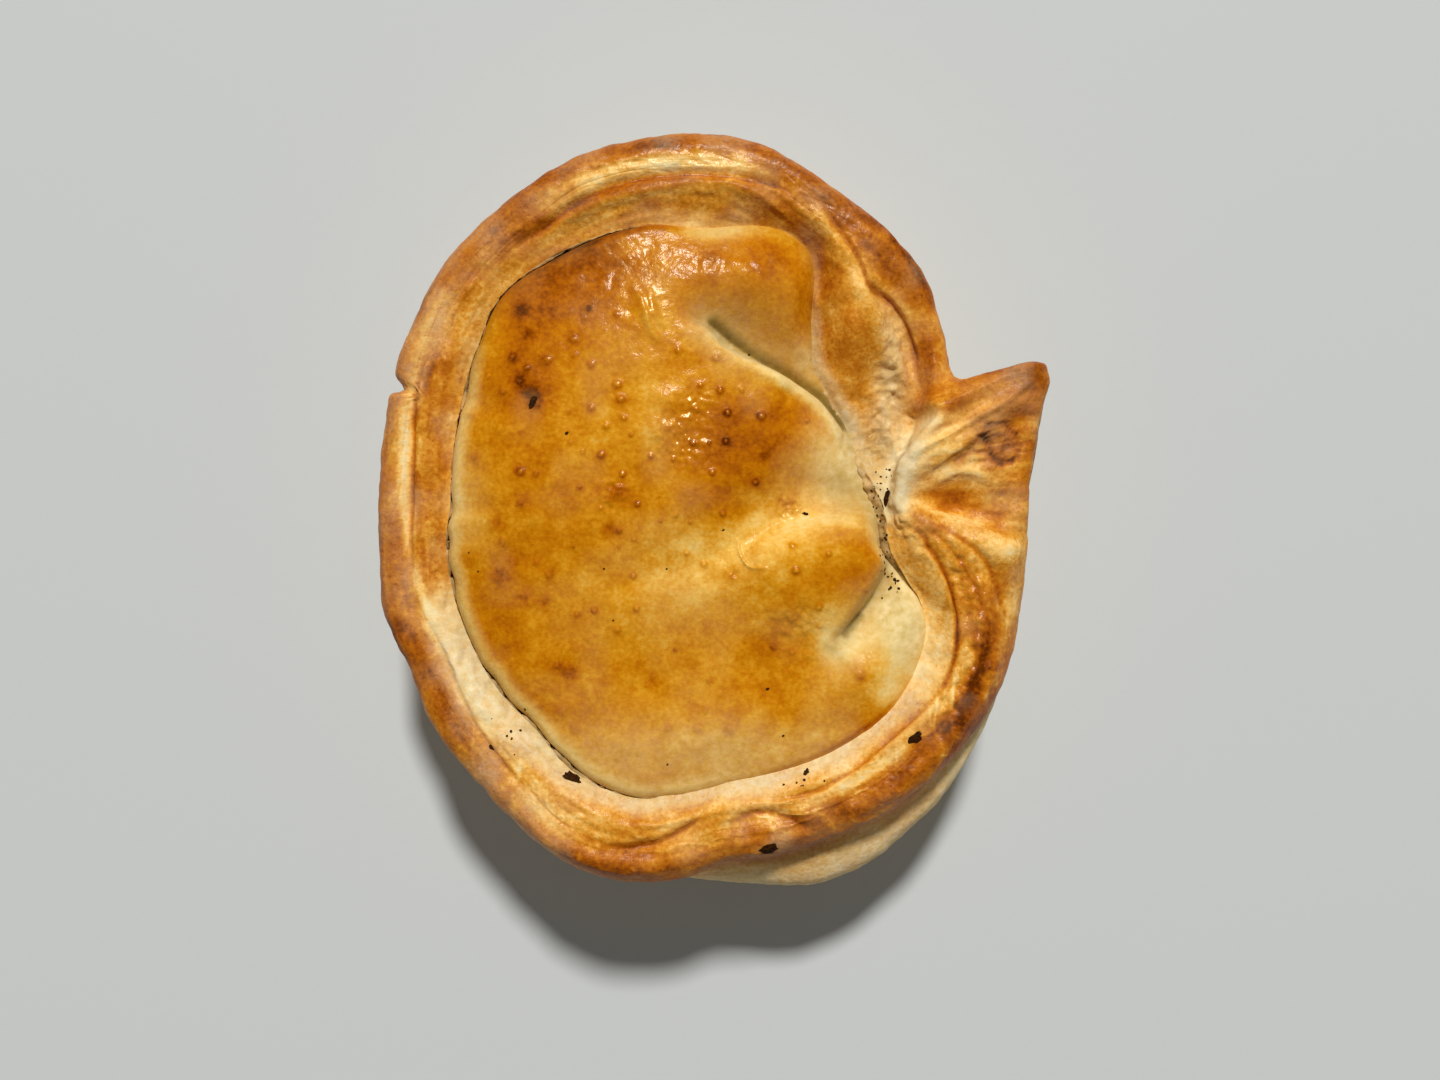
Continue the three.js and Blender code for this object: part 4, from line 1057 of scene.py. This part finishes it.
# How the lid fades towards its edge: the relief, its browning, a thin line along it and its rawness
LID_RELIEF_FADE = (0, 1.5)
LID_EDGE_FADE = (0.8, 3.6)
LID_EDGE_SHARE = 0.8
LID_LINE_INSET = 0.6
LID_LINE_SPREAD = 0.6
LID_EDGE_RAW = 0.4
LID_EDGE_BROWNED = (0.1, 0.4)
# Creases and edges along which the lid stayed raw, and how much
RAW_LINES = [(BACK_FOLD, 0.15), (FRONT_FOLD, 0.3), (DOME_EDGE, 0.5), (LOBE_EDGE, 0.35)]
# How much the egg wash shines, and how browned the pastry is where that is lost
LID_GLAZE = 0.2
LID_GLAZE_BURNT = (0.72, 0.92)


def strewn(fields):
    """A source of chance, the middle and the two spreads for each thing strewn over the fields."""
    for at_x, at_y, wide, tall, count, seed in fields:
        chance = np.random.default_rng(seed)
        for _ in range(count):
            yield chance, at_x, at_y, wide, tall


def blisters():
    """Places, radii and browning of the lid's blisters, the strewn ones kept apart from the others."""
    chance = np.random.default_rng(BLISTER_SEED)
    places = [(x, y, chance.uniform(*PLACED_SIZES), chance.uniform(*PLACED_BROWNING)) for x, y in BLISTERS]
    for chance, at_x, at_y, wide, tall in strewn(BLISTER_FIELDS):
        away = math.sqrt(chance.uniform(0, 1))
        turn = chance.uniform(0, 2 * math.pi)
        x = at_x + wide * away * math.cos(turn)
        y = at_y + tall * away * math.sin(turn)
        size = chance.uniform(*STREWN_SIZES)
        browning = chance.uniform(*STREWN_BROWNING)
        if all(math.hypot(x - other[0], y - other[1]) > BLISTERS_APART for other in places):
            places.append((x, y, size, browning))
    return places


# Olive at the seam, beside the ear and along the lid's folds: damp dough, and painted shade in the creases
def lid_damp_and_shade(x, y, angle, inward):
    damp_and_shade = around(SEAM_DAMP_AND_SHADE, angle) * (1 - smooth(inward, *DAMP_AND_SHADE_FADE)) + dabbed(DAMP_AND_SHADE_DABS, x, y)
    for *stroke, amount in DAMP_AND_SHADE_LINES:
        line, _ = near_path(stroke, x, y)
        damp_and_shade = np.maximum(damp_and_shade, amount * line)
    return damp_and_shade


def build_lid():
    angle, rings, names = skin(LID_STRETCHES, LID_SEGMENTS)
    x, y = rings[..., 0], rings[..., 1]
    inward = lid_edge(angle) - np.hypot(x, y)
    on_top = (names == "top")[:, None]

    relief = texture(rings, LID_ROUGHNESS) + dabbed(LID_BUMPS, x, y) + lift_by(LID_WRINKLES, x, y)
    relief += dabbed(BUBBLY_PLACES, x, y) * texture(rings, BUBBLES)
    bake = LID_BAKE + dabbed(LID_DABS, x, y)
    glints = np.zeros(x.shape)
    uneven = texture(rings, BLISTER_EDGE)
    for at_x, at_y, size, browning in blisters():
        away = np.hypot(x - at_x, y - at_y) / size
        relief += BLISTER_HEIGHT * size * bell(away)
        glints += browning * bell(away)
        for amount, distance, spread in BLISTER_TONES:
            bake += browning * amount * bell(away + uneven - distance, spread)
    ragged = texture(rings, SPOT_EDGE)
    rough = texture(rings, SPOT_ROUGHNESS)
    for at_x, at_y, size in LID_SPOTS:
        spot = bell(np.hypot(x - at_x, y - at_y) / size + ragged)
        relief += spot * rough
        bake += SPOT_BROWNING * spot
    rings = rings + normals_of(rings) * (relief * on_top * smooth(inward, *LID_RELIEF_FADE))[..., None]

    edge_share = 1 - smooth(inward, *LID_EDGE_FADE)
    edge_bake = around(LID_EDGE_BAKE, angle)
    bake = lerp(bake, edge_bake, LID_EDGE_SHARE * edge_share)
    bake = bake + around(LID_EDGE_LINE, angle) * bell(inward - LID_LINE_INSET, LID_LINE_SPREAD)
    bake = bake + texture(rings, LID_MOTTLE) + lift_by(LID_TONES, x, y)
    raw = dabbed(LID_DABS, x, y, 5) + texture(rings, LID_RAW_MOTTLE)
    for stroke, amount in RAW_LINES:
        line, _ = near_path(stroke, x, y)
        raw = raw + amount * line
    raw = raw + LID_EDGE_RAW * edge_share * (1 - smooth(edge_bake, *LID_EDGE_BROWNED))
    shine = np.clip(LID_GLAZE + dabbed(LID_SHINE, x, y) + BLISTER_GLINT * glints, 0, 1)

    piece = skin_object("glazed_lid", rings, np.flatnonzero(names == "top")[-1])
    damp_and_shade = lid_damp_and_shade(x, y, angle, inward) * on_top
    dress(piece, bake, raw, damp_and_shade, shine * (1 - smooth(bake, *LID_GLAZE_BURNT)))
    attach(piece, "root")
    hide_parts("pastry_lid")
    return piece


# Flecks of herb, as (x, y, half length, half width, turn), and specks of pepper, as (x, y, half length)
HERB_FLECKS = [
    (-18.8, -44.3, 1.7, 0.8, -28), (35.7, -37.8, 1.3, 1.1, 20), (12.5, -55.2, 1.6, 1.2, 10),
    (31.4, 0.1, 1.6, 0.6, 65), (-31.4, -39.3, 0.65, 0.35, -30), (18.5, -43.3, 0.65, 0.45, 60),
    (18.5, -2.3, 0.6, 0.3, -20), (-37.2, 12.8, 0.9, 0.4, 70), (-24.6, 15.2, 1.2, 0.55, 66),
]
PEPPER_SPECKS = [
    (-19.2, 10.1, 0.4), (12.3, -30.1, 0.35), (5.3, -5, 0.28), (14.8, -37.5, 0.28), (-3.5, -42, 0.26),
    (-12, -19.2, 0.22), (-13.4, -11.1, 0.24), (-3.6, -11.1, 0.24), (9.5, 23.6, 0.28),
    (-33.5, -11.5, 0.26), (-35, -8.5, 0.2),
]
# Strewn specks: the middle of the place, its two spreads, how many and the seed
SPECK_FIELDS = [
    (30.6, 1.5, 0.9, 2.6, 22, 41), (31, -8, 0.5, 3, 16, 42), (32.2, -13.2, 0.8, 1.4, 14, 43),
    (14, -44.6, 5, 0.8, 6, 44), (-27, -35, 3, 3, 7, 45),
]
# Width in lengths and turn of the placed specks, and lengths and widths of the strewn ones
SPECK_WIDTH = 0.7
SPECK_TURN = 30
STREWN_SPECK_SIZES = (0.14, 0.34)
STREWN_SPECK_WIDTHS = (0.5, 1)
# How ragged a fleck's outline is, in half lengths, and how high its edge lies, in shares of its rise
FLECK_REACH = (0.65, 1.15)
FLECK_EDGE = (0.1, 0.6)
ABOVE_PIE = 0.1  # metres


def top_at(pieces, x, y):
    """The highest point of the pieces at (x, y) from the middle, and its normal, in metres."""
    start = Vector(((x + MIDDLE[0]) * MM, (y + MIDDLE[1]) * MM, ABOVE_PIE))
    hits = [piece.ray_cast(start, Vector((0, 0, -1))) for piece in pieces]
    found = [(point, normal) for hit, point, normal, _ in hits if hit]
    return max(found, key=lambda pair: pair[0].z)


def fleck_object(name, flecks, pieces, seed, points_round, rise):
    """Small closed flecks (x, y, half length, half width, turn) lying on the pieces."""
    chance = np.random.default_rng(seed)
    points, faces = [], []
    for x, y, long, wide, turn in flecks:
        seat, normal = top_at(pieces, x, y)
        lengthwise = Vector((math.cos(math.radians(turn)), math.sin(math.radians(turn)), 0))
        across = normal.cross(lengthwise).normalized()
        along = across.cross(normal)
        first = len(points)
        points.append(seat + normal * rise * MM)
        for step in range(points_round):
            bearing = 2 * math.pi * step / points_round
            reach = chance.uniform(*FLECK_REACH) * MM
            outward = along * long * math.cos(bearing) + across * wide * math.sin(bearing)
            points.append(seat + outward * reach + normal * chance.uniform(*FLECK_EDGE) * rise * MM)
        points.append(seat - normal * rise * MM)
        last = len(points) - 1
        for step in range(points_round):
            here = first + 1 + step
            there = first + 1 + (step + 1) % points_round
            faces += [(first, here, there), (last, there, here)]
    piece = new_piece(name, points, faces)
    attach(piece, "root")
    return piece


def build_flecks(pieces):
    bpy.context.view_layer.update()
    herbs = fleck_object("herb_flecks", HERB_FLECKS, pieces, seed=51, points_round=15, rise=0.35)
    herbs.data.materials.append(fleck_material("herb", HERB_STOPS))
    specks = [(x, y, size, SPECK_WIDTH * size, SPECK_TURN) for x, y, size in PEPPER_SPECKS]
    for chance, at_x, at_y, wide, tall in strewn(SPECK_FIELDS):
        x = at_x + wide * chance.normal()
        y = at_y + tall * chance.normal()
        size = chance.uniform(*STREWN_SPECK_SIZES)
        specks.append((x, y, size, size * chance.uniform(*STREWN_SPECK_WIDTHS), chance.uniform(0, 180)))
    pepper = fleck_object("pepper_specks", specks, pieces, seed=52, points_round=7, rise=0.14)
    pepper.data.materials.append(fleck_material("pepper", PEPPER_STOPS))


# Materials
def srgb(red, green, blue):
    """An sRGB colour, 0 to 255, as linear RGBA."""
    def linear(value):
        value = value / 255
        return value / 12.92 if value <= 0.04045 else ((value + 0.055) / 1.055) ** 2.4
    return (linear(red), linear(green), linear(blue), 1.0)


def new_material(name):
    material = bpy.data.materials.new(name)
    material.use_nodes = True
    tree = material.node_tree
    return material, tree, tree.nodes["Principled BSDF"]


def attribute_node(tree, name):
    node = tree.nodes.new("ShaderNodeAttribute")
    node.attribute_name = name
    return node.outputs["Fac"]


def noise_node(tree, size, detail):
    """Noise in lumps of about the given size in millimetres."""
    place = tree.nodes.new("ShaderNodeTexCoord")
    noise_texture = tree.nodes.new("ShaderNodeTexNoise")
    noise_texture.inputs["Scale"].default_value = 1 / (size * MM)
    noise_texture.inputs["Detail"].default_value = detail
    tree.links.new(place.outputs["Object"], noise_texture.inputs["Vector"])
    return noise_texture.outputs["Fac"]


def math_node(tree, operation, first, second):
    node = tree.nodes.new("ShaderNodeMath")
    node.operation = operation
    for socket, value in zip(node.inputs, (first, second)):
        if isinstance(value, (int, float)):
            socket.default_value = value
        else:
            tree.links.new(value, socket)
    return node.outputs[0]


def swing(tree, source, amount):
    """A 0 to 1 source as a swing of the given amount round zero."""
    return math_node(tree, "MULTIPLY", math_node(tree, "SUBTRACT", source, 0.5), amount)


def ramp_node(tree, source, stops):
    node = tree.nodes.new("ShaderNodeValToRGB")
    elements = node.color_ramp.elements
    while len(elements) < len(stops):
        elements.new(0.5)
    for element, (place, colour) in zip(elements, stops):
        element.position = place
        element.color = colour
    tree.links.new(source, node.inputs["Fac"])
    return node.outputs["Color"]


def mix_node(tree, share, first, second):
    node = tree.nodes.new("ShaderNodeMix")
    node.data_type = "RGBA"
    tree.links.new(share, node.inputs["Factor"])
    tree.links.new(first, node.inputs["A"])
    tree.links.new(second, node.inputs["B"])
    return node.outputs["Result"]


def bump_node(tree, source, height, normal=None):
    node = tree.nodes.new("ShaderNodeBump")
    node.inputs["Distance"].default_value = height * MM
    tree.links.new(source, node.inputs["Height"])
    if normal is not None:
        tree.links.new(normal, node.inputs["Normal"])
    return node.outputs["Normal"]


def ramp(places, *colours):
    """Stops of a colour ramp, from sRGB colours."""
    return [(place, srgb(*colour)) for place, colour in zip(places, colours)]


# Colours by how browned the pastry is, and of raw places, of damp places with painted shade, and of flecks,
# by noise
BAKE_PLACES = (0, 0.2, 0.4, 0.55, 0.7, 0.85, 1)
NOISE_PLACES = (0.3, 0.7)
FLECK_PLACES = (0.35, 0.7)
CASE_STOPS = ramp(
    BAKE_PLACES, (255, 228, 164), (255, 202, 110), (228, 156, 48), (204, 122, 20), (181, 98, 10),
    (148, 73, 4), (98, 44, 6),
)
LID_STOPS = ramp(
    BAKE_PLACES, (250, 218, 140), (244, 190, 84), (224, 152, 26), (206, 126, 4), (187, 102, 2),
    (156, 76, 2), (100, 44, 4),
)
FLOURY_STOPS = ramp(NOISE_PLACES, (230, 199, 138), (248, 232, 192))
RAW_STOPS = ramp(NOISE_PLACES, (222, 192, 116), (250, 224, 162))
DAMP_AND_SHADE_STOPS = ramp(NOISE_PLACES, (86, 66, 20), (122, 96, 36))
HERB_STOPS = ramp(FLECK_PLACES, (38, 18, 5), (74, 42, 14))
PEPPER_STOPS = ramp(FLECK_PLACES, (44, 24, 6), (86, 54, 18))
# Fine browned pores, where the noise is high
PORE_STOPS = [(0.58, (0, 0, 0, 1)), (0.68, (1, 1, 1, 1))]
PORE_BROWNING = 0.3
# Size in millimetres and detail of the noise in the materials
BROAD_MOTTLE = (3, 5)
FINE_MOTTLE = (0.7, 4)
PORE_NOISE = (0.55, 3)
FLOUR_NOISE = (1.2, 3)
DAMP_AND_SHADE_NOISE = (1.6, 2)
GLAZE_NOISE = (1.5, 2)
COARSE_GRAIN = (1, 4)
FINE_GRAIN = (0.4, 2)
FLECK_NOISE = (0.5, 2)
# Heights of the grain in shares of a finish's grain, and how uneven the glaze is
COARSE_GRAIN_SHARE = 1.4
FINE_GRAIN_SHARE = 0.4
GLAZE_SWING = 0.12
COAT_ROUGHNESS = 0.14
FLECK_ROUGHNESS = 0.7
FLECK_GLOSS = 0.04
# Finishes: roughness where glazed and where dry, height of the grain, gloss and coat where the egg wash
# shines, how mottled and porous the pastry is, and the tint of its gloss
CASE_FINISH = {
    "stops": CASE_STOPS, "raw_stops": FLOURY_STOPS, "glazed": 0.24, "dry": 0.66, "grain": 0.11,
    "gloss": 0.36, "coat": 0.13, "mottle": 0.46, "pores": 0.35, "tint": (1, 0.84, 0.6, 1),
}
LID_FINISH = {
    "stops": LID_STOPS, "raw_stops": RAW_STOPS, "glazed": 0.18, "dry": 0.5, "grain": 0.06,
    "gloss": 0.45, "coat": 0.3, "mottle": 0.42, "pores": 0.15, "tint": (1, 0.79, 0.28, 1),
}


def fleck_material(name, stops):
    material, tree, shader = new_material(name)
    colour = ramp_node(tree, noise_node(tree, *FLECK_NOISE), stops)
    tree.links.new(colour, shader.inputs["Base Color"])
    shader.inputs["Roughness"].default_value = FLECK_ROUGHNESS
    shader.inputs["Specular IOR Level"].default_value = FLECK_GLOSS
    return material


def pastry_material(name, stops, raw_stops, glazed, dry, grain, gloss, coat, mottle, pores, tint):
    """Pastry that browns by the bake attribute, stays floury by raw, and turns dark olive where the dough is
    damp and where shade is painted into creases and gaps.
    """
    material, tree, shader = new_material(name)
    bake = attribute_node(tree, "bake")
    bake = math_node(tree, "ADD", bake, swing(tree, noise_node(tree, *BROAD_MOTTLE), mottle))
    bake = math_node(tree, "ADD", bake, swing(tree, noise_node(tree, *FINE_MOTTLE), mottle))
    pore = ramp_node(tree, noise_node(tree, *PORE_NOISE), PORE_STOPS)
    bake = math_node(tree, "ADD", bake, math_node(tree, "MULTIPLY", pore, PORE_BROWNING * pores))
    unbroken = math_node(tree, "SUBTRACT", 1, math_node(tree, "MULTIPLY", pore, pores))
    raw = math_node(tree, "MULTIPLY", attribute_node(tree, "raw"), unbroken)
    floury = ramp_node(tree, noise_node(tree, *FLOUR_NOISE), raw_stops)
    # Dark olive for damp dough, and for painted shade in creases, hollows and gaps
    olive_damp_and_shade = ramp_node(tree, noise_node(tree, *DAMP_AND_SHADE_NOISE), DAMP_AND_SHADE_STOPS)
    colour = mix_node(tree, raw, ramp_node(tree, bake, stops), floury)
    colour = mix_node(tree, attribute_node(tree, "damp_and_shade"), colour, olive_damp_and_shade)
    tree.links.new(colour, shader.inputs["Base Color"])

    shine = math_node(tree, "MULTIPLY", attribute_node(tree, "shine"), math_node(tree, "SUBTRACT", 1, raw))
    rough = math_node(tree, "SUBTRACT", dry, math_node(tree, "MULTIPLY", shine, dry - glazed))
    rough = math_node(tree, "ADD", rough, swing(tree, noise_node(tree, *GLAZE_NOISE), GLAZE_SWING))
    tree.links.new(rough, shader.inputs["Roughness"])
    tree.links.new(math_node(tree, "MULTIPLY", shine, gloss), shader.inputs["Specular IOR Level"])
    tree.links.new(math_node(tree, "MULTIPLY", shine, coat), shader.inputs["Coat Weight"])
    shader.inputs["Coat Roughness"].default_value = COAT_ROUGHNESS
    shader.inputs["Specular Tint"].default_value = tint

    normal = bump_node(tree, noise_node(tree, *COARSE_GRAIN), COARSE_GRAIN_SHARE * grain)
    normal = bump_node(tree, noise_node(tree, *FINE_GRAIN), FINE_GRAIN_SHARE * grain, normal)
    tree.links.new(normal, shader.inputs["Normal"])
    tree.links.new(normal, shader.inputs["Coat Normal"])
    return material


# Light from the back, as the shadow shows: the way to it, its distance and its breadth in metres
LIGHT_WAY = Vector((0.06, 0.7, 1)).normalized()
LIGHT_DISTANCE = 6
LIGHT_BREADTH = 0.7
LIGHT_POWER = 335
SKY = 0.14
FLOOR_HALF = 1.5
FLOOR_COLOUR = srgb(206, 208, 206)
FLOOR_ROUGHNESS = 0.7
FLOOR_GLOSS = 0.2


def lay_floor():
    half = FLOOR_HALF
    corners = [(-half, -half, 0), (half, -half, 0), (half, half, 0), (-half, half, 0)]
    floor = new_piece("floor", corners, [(0, 1, 2, 3)])
    material, _, shader = new_material("floor_paint")
    shader.inputs["Base Color"].default_value = FLOOR_COLOUR
    shader.inputs["Roughness"].default_value = FLOOR_ROUGHNESS
    shader.inputs["Specular IOR Level"].default_value = FLOOR_GLOSS
    floor.data.materials.append(material)


def set_light():
    key_data = bpy.data.lights.new("key", "AREA")
    key_data.shape = "DISK"
    key_data.size = LIGHT_BREADTH
    key_data.energy = LIGHT_POWER
    key = bpy.data.objects.new("key", key_data)
    key.location = LIGHT_DISTANCE * LIGHT_WAY
    key.rotation_euler = (-LIGHT_WAY).to_track_quat("-Z", "Y").to_euler()
    bpy.context.scene.collection.objects.link(key)

    world = bpy.data.worlds.new("studio")
    world.use_nodes = True
    background = world.node_tree.nodes["Background"]
    background.inputs["Color"].default_value = (1, 1, 1, 1)
    background.inputs["Strength"].default_value = SKY
    bpy.context.scene.world = world
    bpy.context.scene.view_settings.view_transform = "Standard"


# The camera, almost straight above the pie
PHOTO_WIDTH = 1440  # pixels
PIXEL = 0.161  # millimetres a pixel at the height of the rim
AIM = (Vector((4.8, -6.4, 33.5)) + Vector(MIDDLE)) * MM
CAMERA_DISTANCE = 0.22
CAMERA_ELEVATION = math.radians(88)
SENSOR_WIDTH = 36


def place_camera():
    data = bpy.data.cameras.new("camera")
    data.sensor_width = SENSOR_WIDTH
    data.lens = SENSOR_WIDTH * CAMERA_DISTANCE / (PHOTO_WIDTH * PIXEL * MM)
    camera = bpy.data.objects.new("camera", data)
    away = Vector((0, -math.cos(CAMERA_ELEVATION), math.sin(CAMERA_ELEVATION)))
    camera.location = AIM + CAMERA_DISTANCE * away
    camera.rotation_euler = (-away).to_track_quat("-Z", "Y").to_euler()
    bpy.context.scene.collection.objects.link(camera)
    bpy.context.scene.camera = camera


case = build_case()
case.data.materials.append(pastry_material("case_pastry", **CASE_FINISH))
lid = build_lid()
lid.data.materials.append(pastry_material("lid_pastry", **LID_FINISH))
build_flecks([case, lid])
lay_floor()
set_light()
place_camera()
